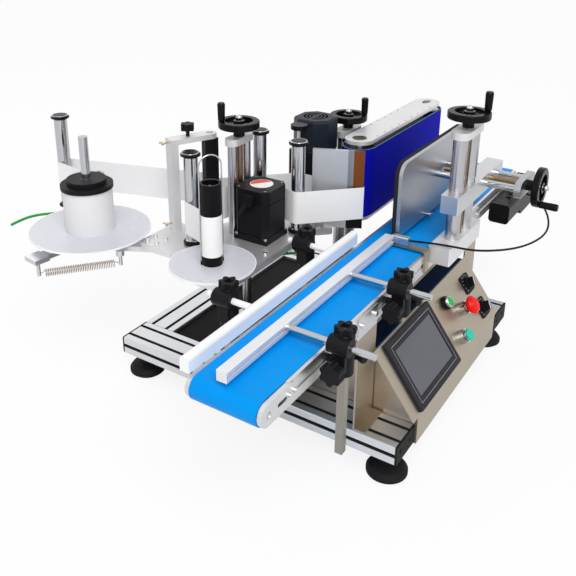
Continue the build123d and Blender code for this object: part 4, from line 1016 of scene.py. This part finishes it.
@dataclass
class Guides:
    """Bottle guides, clamps and knobs, with the columns and blocks of the three stands."""

    posts_at: tuple[Plan, ...] = ((-105.0, -274.0), (122.0, -274.0), (-85.0, -28.0), (190.0, -28.0))
    post_r: float = 0.011
    bar_x: Plan = (-292.0, 296.0)
    bar_y: float = -166.0
    bar_top: float = 365.0
    bar_side: float = 20.0
    groove: float = 6.0
    cover_t: float = 2.0
    cover_proud: float = 0.1
    end_size: Point = (0.001, 0.0194, 0.0194)
    rods_from: float = -176.5

    def build(self, shop: Workshop) -> None:
        """Dress the guides and the stands, and close the right guide's top slot and near end.

        Args:
            shop: Where pieces are made.
        """
        rods = Between(1, -FAR, plan(0.0, self.rods_from)[1])
        posts = tuple((Round(plan(*at), -1.0, self.post_r), POST_STEEL) for at in self.posts_at)
        shop.dress(
            right_guide=Parted(GUIDE_ALUMINIUM, ((rods, CHROME),)),
            left_guide=WHITE,
            stand_columns=Parted(COLUMN_STEEL, posts),
            stand_blocks=SATIN_ALUMINIUM,
        )
        knobs = [f"{kind}_knob_{place}" for kind in ("rod", "post") for place in ("near", "far")]
        shop.dress(**{node: BLACK for node in ("guide_clamps", *knobs)})
        cover, level = bmesh.new(), Matrix.Identity(4)
        middle = row(sum(self.bar_x) / 2, self.bar_y, self.bar_top + self.cover_proud - self.cover_t / 2)
        length = self.bar_x[1] - self.bar_x[0]
        slab(cover, level, middle, (length / 1000, self.groove / 1000, self.cover_t / 1000))
        end = row(self.bar_x[0] - 0.5, self.bar_y, self.bar_top - self.bar_side / 2)
        slab(cover, level, end, self.end_size)
        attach(shop.piece("guide_cover", cover, GUIDE_ALUMINIUM), "guide")


@dataclass
class Press:
    """Press stand, plate and foam pad, with the bottle sensor."""

    wheel_at: Plan = (415.0, -271.0)
    cross_wheel_x: float = 552.5
    cross_wheel_z: float = 0.4375
    cross_screw_y: float = -372.0
    screw_top: float = 0.587
    sensor_from: float = 0.3452
    rods_y: Plan = (-355.5, -176.5)
    plate_x: Plan = (321.0, 700.0)
    plate_z: Plan = (349.0, 512.0)
    face_y: float = -158.0
    pad_t: float = 10.0
    corner: float = 28.0
    corner_steps: int = 8
    pad_edge: float = 0.003
    nut_x: tuple[float, ...] = (464.0, 640.0)
    nut_up: float = 7.0
    plate_t: float = 8.4
    nut_length: float = 0.012

    def build(self, shop: Workshop) -> None:
        """Dress the press, make its pad and add the wing nuts that hold it.

        Args:
            shop: Where pieces are made.
        """
        cross_at = (plan(self.cross_wheel_x, 0.0)[0], self.cross_wheel_z)
        cross_screw = Between(1, plan(0.0, self.cross_screw_y)[1])
        shop.dress(
            press_carriage=ALUMINIUM,
            press_slide=Parted(PRESSED_ALUMINIUM, ((strip_of(1, *self.rods_y), CHROME),)),
            press_handwheel=wheel_finish(plan(*self.wheel_at), Between(2, 0.0, self.screw_top)),
            press_cross_handwheel=wheel_finish(cross_at, cross_screw, (0, 2)),
            bottle_sensor=Parted(STAINLESS, ((Between(2, self.sensor_from), ALUMINIUM),)),
        )
        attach(self.pad(shop), "press_cross")
        nuts = bmesh.new()
        for x in self.nut_x:
            foot = row(x, self.face_y - self.pad_t - self.plate_t, self.plate_z[0] + self.nut_up)
            wing_screw(nuts, foot, (0, -1, 0), self.nut_length)
        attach(shop.piece("pad_wing_nuts", nuts, CHROME), "press_cross")

    def pad(self, shop: Workshop) -> bpy.types.Object:
        """The foam pad, with soft edges.

        Args:
            shop: Where pieces are made.

        Returns:
            The pad.
        """
        r, (x0, x1), (z0, z1) = self.corner, self.plate_x, self.plate_z
        outline = [(x0, z0), (x1, z0)]
        for middle, first in ((x1 - r, 0.0), (x0 + r, 90.0)):
            for k in range(self.corner_steps + 1):
                angle = math.radians(first + 90.0 * k / self.corner_steps)
                outline.append((middle + r * math.cos(angle), z1 - r + r * math.sin(angle)))
        shape = bmesh.new()
        back = [shape.verts.new(row(x, self.face_y - self.pad_t + 0.1, z)) for x, z in outline]
        front = [shape.verts.new(row(x, self.face_y, z)) for x, z in outline]
        bridge(shape, back, front)
        shape.faces.new(back)
        edges = list(shape.faces.new(front).edges)
        bmesh.ops.bevel(shape, geom=edges, offset=self.pad_edge, segments=4, affect="EDGES", profile=0.6)
        pad = shop.piece("foam_pad", shape, Foam())
        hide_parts("press_pad")
        return pad


@dataclass
class Wrap:
    """Wrap belt unit with its motor."""

    x: Plan = (380.0, 845.0)
    middle_y: float = -26.0
    top: float = 520.0
    roller_in: float = 39.0
    screw_in: float = 74.0
    screw_step: float = 38.0
    screw_aside: float = 27.0
    screws: int = 9
    screw: Plan = (0.0027, 0.0007)
    sponge_from: float = 0.5015
    sponge_r: float = 0.0382
    line_r: Plan = (0.0366, 0.0380)
    gearbox_top: float = 0.483
    screw_top: float = 0.512
    covers: tuple[tuple[float, int], ...] = ((0.0165, 40), (0.0100, 32))
    motor_at: Plan = (412.0, 84.0)
    motor_slots: tuple[float, ...] = (0.010, 0.018, 0.026)
    slot_half: float = 0.0023
    slot_bridge: float = 0.003
    slots_from: float = 0.548
    wheel_at: Plan = (503.0, 47.0)

    def build(self, shop: Workshop) -> None:
        """Dress the wrap unit and add its plate screws and bearing covers.

        Args:
            shop: Where pieces are made.
        """
        rollers_x = (self.x[0] + self.roller_in, self.x[1] - self.roller_in)
        run, middle = tuple(plan(x, 0.0)[0] for x in rollers_x), plan(0.0, self.middle_y)[1]
        upper = Between(2, self.sponge_from)
        inside = Both(upper, Oblong(run, middle, -1.0, self.sponge_r))
        line = Both(upper, Oblong(run, middle, *self.line_r))
        motor = plan(*self.motor_at)
        slots = Slots(motor, self.motor_slots, self.slot_half, self.slot_bridge, self.slots_from)
        gearbox = Between(2, 0.0, self.gearbox_top)
        shop.dress(
            wrap_frame=SATIN_ALUMINIUM,
            wrap_belt=Parted(WRAP_BLUE, ((inside, SPONGE), (line, PALE_GREEN))),
            wrap_near_roller=STEEL,
            wrap_far_roller=STEEL,
            # The fan cover's ring slots are painted near-black as the shade inside them
            wrap_motor=Parted(MOTOR_GREY, ((gearbox, BLACK_PAINT), (slots, SLOT_SHADE_BLACK))),
            wrap_handwheel=wheel_finish(plan(*self.wheel_at), Between(2, 0.0, self.screw_top)),
        )
        shape = bmesh.new()
        for k in range(self.screws):
            for aside in (-self.screw_aside, self.screw_aside):
                foot = row(self.x[0] + self.screw_in + self.screw_step * k, self.middle_y + aside, self.top)
                cap_screw(shape, foot, UP, *self.screw)
        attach(shop.piece("plate_screws", shape, STEEL), "wrap_head")
        ends = bmesh.new()
        for x, (radius, count) in zip(rollers_x, self.covers):
            levels = ((0.0, radius), (0.0005, radius - 0.0005))
            turned(ends, row(x, self.middle_y, self.top), UP, levels, count)
        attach(shop.piece("bearing_covers", ends, OLIVE_STEEL), "wrap_head")


@dataclass(frozen=True)
class Roller:
    """One of the label head's upright rollers."""

    node: str
    body: str
    at: Plan
    top: float
    cap: float = 0.0105
    lower_cap: Plan = (0.3, 0.3465)
    ring_levels: tuple[Plan, ...] = (
        (-0.0018, 0.0180),
        (-0.0010, 0.0188),
        (-0.0002, 0.0180),
        (-0.0002, 0.0162),
    )

    def finish(self) -> Parted:
        """Bright roller with black caps."""
        caps = (Between(2, self.top / 1000 - self.cap), Between(2, *self.lower_cap))
        return Parted(CHROME, tuple((cap, BLACK_GLOSS) for cap in caps))

    def add_ring(self, shop: Workshop) -> None:
        """Add the bright spring ring that holds the upper cap."""
        shape, up = bmesh.new(), Vector(UP)
        middle = Vector(row(*self.at, self.top))
        loops = [ring(shape, middle + up * rise, up, reach, 40) for rise, reach in self.ring_levels]
        for first, second in zip(loops, loops[1:] + loops[:1]):
            bridge(shape, first, second)
        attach(shop.piece(f"{self.node}_ring", shape, CHROME), self.body)


@dataclass
class LabelHead:
    """Label head: plate, stepper, rollers, reels, dancer, brake, peel plate and web."""

    wheel_at: Plan = (197.0, 147.0)
    screw_top: float = 0.553
    caps_from: float = 0.5405
    peel_foot: Plan = (305.0, 28.0)
    peel_tip: Plan = (348.0, -76.0)
    peel_under: float = 0.3600
    peel_slope: float = 0.0770
    peel_edge: float = 0.0895
    brake_foot: Plan = (120.0, 258.0)
    brake_end: Plan = (194.0, 223.0)
    bar_from: float = 0.05
    bar_top: float = 0.5365
    bar_out: float = 17.2
    bar_off: float = 10.2
    thumb_z: Plan = (541.0, 356.0)
    thumb_out: float = 16.0
    web_z: Plan = (372.0, 446.0)
    web_half: float = 0.15
    web_tie_z: float = 390.0
    rollers: tuple[Roller, ...] = (
        Roller("entry_roller", "entry", (82.0, 187.0), 541.0),
        Roller("feed_roller", "feed", (256.0, 35.0), 546.0),
        Roller("return_roller", "return", (262.0, 138.0), 552.0),
        Roller("dancer_roller", "dancer_wheel", (91.0, 577.0), 557.0),
    )
    roller_r: float = 15.6
    supply_at: Plan = (-3.0, 405.0)
    # Radius past which the supply disc's rim is painted white as a highlight
    supply_glint_from: float = 0.1295
    roll_r: float = 53.6
    spindle_r: float = 0.0103
    clamp_out: float = 42.0
    clamp_z: float = 460.5
    clamp_lean: float = 14.0
    take_up_at: Plan = (8.0, 80.0)
    # Radius past which the take-up disc's rim is painted white as a highlight
    take_up_glint_from: float = 0.0855
    core_r: float = 0.0212
    core_band: Plan = (0.3705, 0.4560)
    core_top: float = 0.5100
    clip_from: float = 0.36
    clip_r: float = 0.03
    bow_from: float = 0.5205
    lever_tip: Plan = (-138.0, 424.0)
    spring_post: Plan = (-6.0, 318.0)
    spring_z: float = 291.0
    coil_r: float = 0.008
    coil_turns: int = 40
    turn_steps: int = 16
    wire_r: float = 0.0006
    hook_r: float = 0.0052
    hook_gap: float = 0.012
    stepper_at: Plan = (195.0, 91.0)
    stepper_top: float = 455.0
    flange_top: float = 346.0
    flange_screw: float = 36.5
    cap_screw_at: float = 33.0
    plate_off: float = 4.0
    plate_r: float = 0.0250
    mark_r: float = 0.0236
    plate_top: float = 337.0
    plate_screws: tuple[Plan, ...] = ((120.0, 30.0), (300.0, 158.0), (338.0, 60.0), (140.0, 278.0))

    def build(self, shop: Workshop) -> None:
        """Dress the head and make its spring, web and small fittings.

        Args:
            shop: Where pieces are made.
        """
        shop.dress(
            label_plate=Parted(PLATE_ALUMINIUM, ((Between(2, self.caps_from), BLACK_GLOSS),)),
            label_handwheel=wheel_finish(plan(*self.wheel_at), Between(2, 0.0, self.screw_top)),
            stepper_motor=BLACK_PAINT,
            stepper_pulley=ALUMINIUM,
            feed_belt=CORD_GREEN,
            dancer_lever=ALUMINIUM,
            brake_knob=BLACK,
            label_web=Paper(),
        )
        shop.dress(**{roller.node: roller.finish() for roller in self.rollers})
        self.dress_plates(shop)
        self.dress_reels(shop)
        self.spring(shop)
        self.web(shop)
        self.head_screws(shop)
        for roller in self.rollers:
            roller.add_ring(shop)
        self.thumb_screws(shop)
        self.stepper_cap(shop)

    def dress_plates(self, shop: Workshop) -> None:
        """Dress the peel plate with its thin edge, and the brake's bracket with its bar."""
        foot, way = plan(*self.peel_foot), heading(self.peel_foot, self.peel_tip)
        slope = Along(foot, way, self.peel_slope)
        edge = Both(Along(foot, way, self.peel_edge), Between(2, self.peel_under))
        under = Both(slope, Between(2, 0.0, self.peel_under))
        over = ((slope, SHADED_ALUMINIUM), (edge, BRONZE), (under, BLACK_PAINT))
        bar = Along(plan(*self.brake_foot), heading(self.brake_foot, self.brake_end), self.bar_from)
        bar = Both(bar, Between(2, 0.0, self.bar_top))
        bracket = Parted(SATIN_ALUMINIUM, ((bar, BLACK),))
        shop.dress(peel_plate=Parted(ALUMINIUM, over), brake_bracket=bracket)

    def dress_reels(self, shop: Workshop) -> None:
        """Dress the two reels and add the screw on the take-up core."""
        supply, take_up = plan(*self.supply_at), plan(*self.take_up_at)
        band = Both(Between(2, *self.core_band), Round(take_up, -1.0, self.core_r))
        clip = Both(Round(take_up, self.core_r, self.clip_r), Between(2, self.clip_from))
        core = ((band, Paper()), (clip, CHROME), (Between(2, self.bow_from), CHROME))
        shop.dress(
            # The discs' rims are opaque white: a painted highlight along their edges
            supply_disc=Parted(Milky(), ((Round(supply, self.supply_glint_from), WHITE),)),
            take_up_disc=Parted(Milky(), ((Round(take_up, self.take_up_glint_from), WHITE),)),
            label_roll=RolledPaper(supply),
            supply_spindle=Parted(CHROME, ((Round(supply, self.spindle_r), BLACK),)),
            take_up_core=Parted(BLACK_GLOSS, core),
        )
        shape = bmesh.new()
        levels = ((0.0, 0.0055), (0.0030, 0.0055), (0.0040, 0.0040))
        turned(shape, (*take_up, self.core_top), UP, levels)
        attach(shop.piece("core_screw", shape, STEEL), "take_up")

    def spring(self, shop: Workshop) -> None:
        """Add the dancer's coil spring with its end hooks."""
        a = Vector(row(*self.lever_tip, self.spring_z))
        b = Vector(row(*self.spring_post, self.spring_z))
        along = (b - a).normalized()
        u, v = frame_of(along)
        start, end = a + along * self.hook_gap, b - along * self.hook_gap
        bends = (2.6, 2.0, 1.4, 0.8, 0.2)
        points = [a + (along * math.cos(t) + u * math.sin(t)) * self.hook_r for t in bends]
        total = self.coil_turns * self.turn_steps
        for k in range(total + 1):
            angle = 2 * math.pi * k / self.turn_steps
            around = u * math.cos(angle) + v * math.sin(angle)
            points.append(start + (end - start) * (k / total) + around * self.coil_r)
        points += [b + (u * math.sin(t) - along * math.cos(t)) * self.hook_r for t in reversed(bends)]
        shape = bmesh.new()
        tube(shape, points, self.wire_r, 6)
        coil = shop.piece("dancer_coil", shape, SCREW_STEEL)
        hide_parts("dancer_spring")
        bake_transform(coil)

    def strip(self, shop: Workshop, name: str, line: Sequence[Plan]) -> bpy.types.Object:
        """A thin upright strip of label stock.

        Args:
            shop: Where pieces are made.
            name: The strip's name.
            line: The points that it follows in plan.

        Returns:
            The strip.
        """
        shape = bmesh.new()
        low, high = self.web_z
        loops = []
        for k, (x, y) in enumerate(line):
            before, after = Vector(line[max(k - 1, 0)]), Vector(line[min(k + 1, len(line) - 1)])
            side = (after - before).normalized().orthogonal() * self.web_half
            corners = ((1, low), (1, high), (-1, high), (-1, low))
            loops.append([shape.verts.new(row(x + way * side.x, y + way * side.y, z)) for way, z in corners])
        skin(shape, loops)
        return shop.piece(name, shape, Paper())

    def web(self, shop: Workshop) -> None:
        """Add the two runs of web that the dancer takes up and lets out."""
        dancer, r = self.rollers[-1].at, self.roller_r
        run, arrive = tangent(self.supply_at, self.roll_r, dancer, -r)
        along = heading(self.brake_foot, self.brake_end)
        out, off = self.bar_out, self.bar_off
        brake_x = self.brake_end[0] + out * along[0] - off * along[1]
        brake_y = self.brake_end[1] + out * along[1] + off * along[0]
        leave, stop = tangent(dancer, -r, (brake_x, brake_y), 0.0)
        first = math.atan2(arrive[1] - dancer[1], arrive[0] - dancer[0])
        last = math.atan2(leave[1] - dancer[1], leave[0] - dancer[0])
        sweep = (last - first) % (2 * math.pi) - 2 * math.pi
        angles = [first + sweep * k / 12 for k in range(13)]
        arc = [(dancer[0] + r * math.cos(t), dancer[1] + r * math.sin(t)) for t in angles]
        out_run = [partway(run, arrive, k / 10) for k in range(10)]
        in_run = [partway(leave, stop, k / 14) for k in range(1, 15)]
        pay_out = self.strip(shop, "web_from_roll", out_run + arc)
        take_in = self.strip(shop, "web_to_brake", [arc[-1]] + in_run)
        for strip, start, end in ((pay_out, run, arrive), (take_in, stop, leave)):
            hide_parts("supply_web")
            row(*start, self.web_tie_z)
            row(*end, self.web_tie_z)
            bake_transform(strip)

    def stepper_corners(self, aside: float, z: float) -> list[Point]:
        """The four places at one distance from the stepper's middle lines."""
        x, y = self.stepper_at
        return [row(x + dx, y + dy, z) for dx in (-aside, aside) for dy in (-aside, aside)]

    def head_screws(self, shop: Workshop) -> None:
        """Add the stepper's corner screws and those of the plate."""
        shape = bmesh.new()
        for foot in self.stepper_corners(self.flange_screw, self.flange_top):
            cap_screw(shape, foot, UP, 0.0045, 0.005)
        for x, y in self.plate_screws:
            cap_screw(shape, row(x, y, self.plate_top), UP, 0.0045, 0.004)
        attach(shop.piece("head_screws", shape, STEEL), "label_head")

    def thumb_screws(self, shop: Workshop) -> None:
        """Add the thumb screws of the brake upright and of the roll clamp."""
        way, out = heading(self.brake_end, self.brake_foot), self.thumb_out
        shape = bmesh.new()
        for z in self.thumb_z:
            foot = row(self.brake_foot[0] + out * way[0], self.brake_foot[1] + out * way[1], z)
            wing_screw(shape, foot, (*way, 0.0), 0.016)
        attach(shop.piece("brake_thumb_screws", shape, BRASS), "label_head")
        shape = bmesh.new()
        lean, out = math.radians(self.clamp_lean), self.clamp_out
        way = (math.cos(lean), math.sin(lean))
        foot = row(self.supply_at[0] + out * way[0], self.supply_at[1] + out * way[1], self.clamp_z)
        wing_screw(shape, foot, (*way, 0.0), 0.014)
        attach(shop.piece("clamp_thumb_screw", shape, BRASS), "supply")

    def stepper_cap(self, shop: Workshop) -> None:
        """Add the plain round plate and the four screws on the stepper's end cap."""
        x, y = self.stepper_at
        shape = bmesh.new()
        levels = ((0.0, self.plate_r), (0.0003, self.plate_r))
        turned(shape, row(x + self.plate_off, y, self.stepper_top), UP, levels, 64)
        half = Along(plan(x + 8, y + 2), (0.6, 0.8), 0.0)
        half = Both(half, Round(plan(x + self.plate_off, y), -1.0, self.mark_r))
        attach(shop.piece("stepper_plate", shape, Parted(WHITE, ((half, ORANGE),))), "label_head")
        shape = bmesh.new()
        for foot in self.stepper_corners(self.cap_screw_at, self.stepper_top):
            cap_screw(shape, foot, UP, 0.0026, 0.0012)
        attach(shop.piece("stepper_cap_screws", shape, CHROME), "label_head")


def tangent(a: Plan, ra: float, b: Plan, rb: float) -> tuple[Plan, Plan]:
    """Ends of the line that touches two circles.

    Args:
        a: The first circle's centre.
        ra: Its radius; positive keeps it on the line's left.
        b: The second circle's centre.
        rb: Its radius, signed in the same way.

    Returns:
        The two touching points.
    """
    lean = math.asin((ra - rb) / math.dist(a, b))
    angle = math.atan2(b[1] - a[1], b[0] - a[0]) + lean
    nx, ny = math.sin(angle), -math.cos(angle)
    return (a[0] + ra * nx, a[1] + ra * ny), (b[0] + rb * nx, b[1] + rb * ny)


@dataclass
class Cable:
    """A free cord along its own route."""

    name: str
    node: str
    body: str
    slot: str
    points: tuple[Point, ...]
    diameter: float
    length: float
    far_end: str
    stiffness: str
    finish: Finish

    def build(self, shop: Workshop) -> None:
        """Lay the cord.

        Args:
            shop: Where pieces are made.
        """
        line = bpy.data.curves.new(self.name, "CURVE")
        line.dimensions = "3D"
        line.bevel_depth = self.diameter / 2000
        line.bevel_resolution = 4
        line.resolution_u = 12
        line.use_fill_caps = True
        spline = line.splines.new("NURBS")
        spline.points.add(len(self.points) - 1)
        for control, point in zip(spline.points, self.points):
            control.co = (*row(*point), 1.0)
        spline.order_u = 3
        spline.use_endpoint_u = True
        line.materials.append(shop.material(self.name, self.finish))
        cord = bpy.data.objects.new(self.name, line)
        bpy.context.scene.collection.objects.link(cord)
        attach(cord, self.body)
        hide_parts(self.node)
        row(*self.points[0])
        self.diameter / 1000


SENSOR_CABLE = Cable(
    "sensor_lead",
    "sensor_cable",
    "frame",
    "black_rubber",
    (
        (310.0, -207.0, 355.0), (314.0, -244.0, 359.0), (328.0, -286.0, 357.0),
        (358.0, -326.0, 345.0), (400.0, -362.0, 338.0), (457.0, -388.0, 328.0),
        (522.0, -404.0, 319.0), (587.0, -412.0, 314.0), (644.0, -408.0, 313.5),
        (695.0, -392.0, 320.0), (733.0, -366.0, 332.0), (756.0, -332.0, 340.0),
        (764.0, -300.0, 336.0), (772.0, -276.0, 322.0),
    ),
    4.5,
    0.644,
    "object",
    "medium",
    RUBBER,
)

TAIL_CORD = Cable(
    "green_tail",
    "tail_cord",
    "dancer",
    "green_cord",
    (
        (64.0, 522.0, 334.5), (46.0, 548.0, 334.5), (26.0, 569.0, 335.0),
        (0.0, 586.0, 336.0), (-30.0, 596.0, 335.0), (-62.0, 598.0, 331.0),
    ),
    6.0,
    0.155,
    "bare",
    "stiff",
    CORD_GREEN,
)


@dataclass
class Studio:
    """Camera, lamps, pale floor and white backdrop."""

    focal: float = 761.8
    frame: float = 576.0
    sensor: float = 36.0
    axis_at: Plan = (263.5, 186.9)
    eye: Point = (-1058.7, -752.2, 1028.2)
    back: Point = (-0.777, -0.518, 0.358)
    soft: float = 0.5
    floor_glow: float = 0.85
    sun_from: Point = (-0.55, -0.50, 1.0)
    sun_power: float = 1.35
    sun_spread: float = 40.0
    lamps: tuple[tuple[str, Point, float], ...] = (
        ("key", (-1.6, -1.4, 2.2), 16.0),
        ("rear", (0.4, 2.2, 2.0), 8.0),
    )
    lamp_size: float = 1.4
    aim: Point = (0.0, 0.0, 0.3)
    white: Colour = (1.0, 1.0, 1.0)

    def build(self) -> None:
        """Set up the view and the light."""
        scene = bpy.context.scene
        scene.view_settings.view_transform = "Standard"
        self.camera(scene)
        self.world(scene)
        self.floor(scene)
        self.lights(scene)

    def camera(self, scene: bpy.types.Scene) -> None:
        """Put the camera where the photograph was taken from."""
        lens = bpy.data.cameras.new("view")
        lens.sensor_width = self.sensor
        lens.lens = self.sensor * self.focal / self.frame
        lens.shift_x = (self.frame / 2 - self.axis_at[0]) / self.frame
        lens.shift_y = -(self.frame / 2 - self.axis_at[1]) / self.frame
        lens.clip_end = 50.0
        camera = bpy.data.objects.new("view", lens)
        z = Vector(self.back).normalized()
        x = Vector(UP).cross(z).normalized()
        turn = Matrix((x, z.cross(x), z)).transposed().to_4x4()
        camera.matrix_world = Matrix.Translation(Vector(row(*self.eye))) @ turn
        scene.collection.objects.link(camera)
        scene.camera = camera

    def world(self, scene: bpy.types.Scene) -> None:
        """A white backdrop with soft, plain light."""
        shader = Shader(bpy.data.worlds.new("backdrop"))
        kinds = ("Is Camera Ray", "Is Transmission Ray", "Is Glossy Ray")
        view, through, shine = (shader.make("ShaderNodeLightPath", {}, {}, kind) for kind in kinds)
        seen = view.maths("MAXIMUM", through).maths("MAXIMUM", shine)
        grades = [
            shader.make("ShaderNodeBackground", {}, {"Color": self.white, "Strength": strength})
            for strength in (self.soft, 1.0)
        ]
        scene.world = shader.finish(shader.mix(seen, *grades), "ShaderNodeOutputWorld")

    def floor(self, scene: bpy.types.Scene) -> None:
        """A wide pale floor that takes the machine's shadow."""
        shape = bmesh.new()
        bmesh.ops.create_grid(shape, x_segments=1, y_segments=1, size=12.0)
        mesh = bpy.data.meshes.new("floor")
        shape.to_mesh(mesh)
        shape.free()
        shader = Shader(bpy.data.materials.new("floor"))
        lit = shader.surface((0.95, 0.95, 0.95), 0.9, {"Specular IOR Level": 0.0})
        bright = shader.make("ShaderNodeEmission", {}, {"Color": self.white, "Strength": 1.0})
        seen = shader.make("ShaderNodeLightPath", {}, {}, "Is Camera Ray")
        mesh.materials.append(shader.finish(shader.mix(seen * self.floor_glow, lit, bright)))
        floor = bpy.data.objects.new("floor", mesh)
        floor.location = (0, 0, -0.0005)
        scene.collection.objects.link(floor)

    def lights(self, scene: bpy.types.Scene) -> None:
        """Add the even light from one side and the large soft lamps."""
        even = bpy.data.lights.new("even", "SUN")
        even.energy = self.sun_power
        even.angle = math.radians(self.sun_spread)
        self.hang(scene, even, self.sun_from, (0.0, 0.0, 0.0))
        for name, place, power in self.lamps:
            light = bpy.data.lights.new(name, "AREA")
            light.size = self.lamp_size
            light.energy = power
            self.hang(scene, light, place, self.aim)

    @staticmethod
    def hang(scene: bpy.types.Scene, light: bpy.types.Light, place: Point, aim: Point) -> None:
        """Put a light in its place, facing its aim.

        Args:
            scene: The scene.
            light: The light.
            place: Where it hangs.
            aim: The point that it faces.
        """
        lamp = bpy.data.objects.new(light.name, light)
        lamp.location = place
        lamp.rotation_euler = (Vector(aim) - Vector(place)).to_track_quat("-Z", "Y").to_euler()
        scene.collection.objects.link(lamp)


def main() -> None:
    """Build the studio, the cords and each sub-assembly in turn."""
    logging.basicConfig(level=logging.INFO, format="%(message)s")
    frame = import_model()
    shop = Workshop(frame["nodes"])
    Studio().build()
    for cable in (SENSOR_CABLE, TAIL_CORD):
        cable.build(shop)
        LOG.info("laid %s", cable.name)
    for unit in (Base(), Conveyor(), Cabinet(), Guides(), Press(), Wrap(), LabelHead()):
        unit.build(shop)
        LOG.info("dressed %s", type(unit).__name__)


if __name__ == "__main__":
    main()
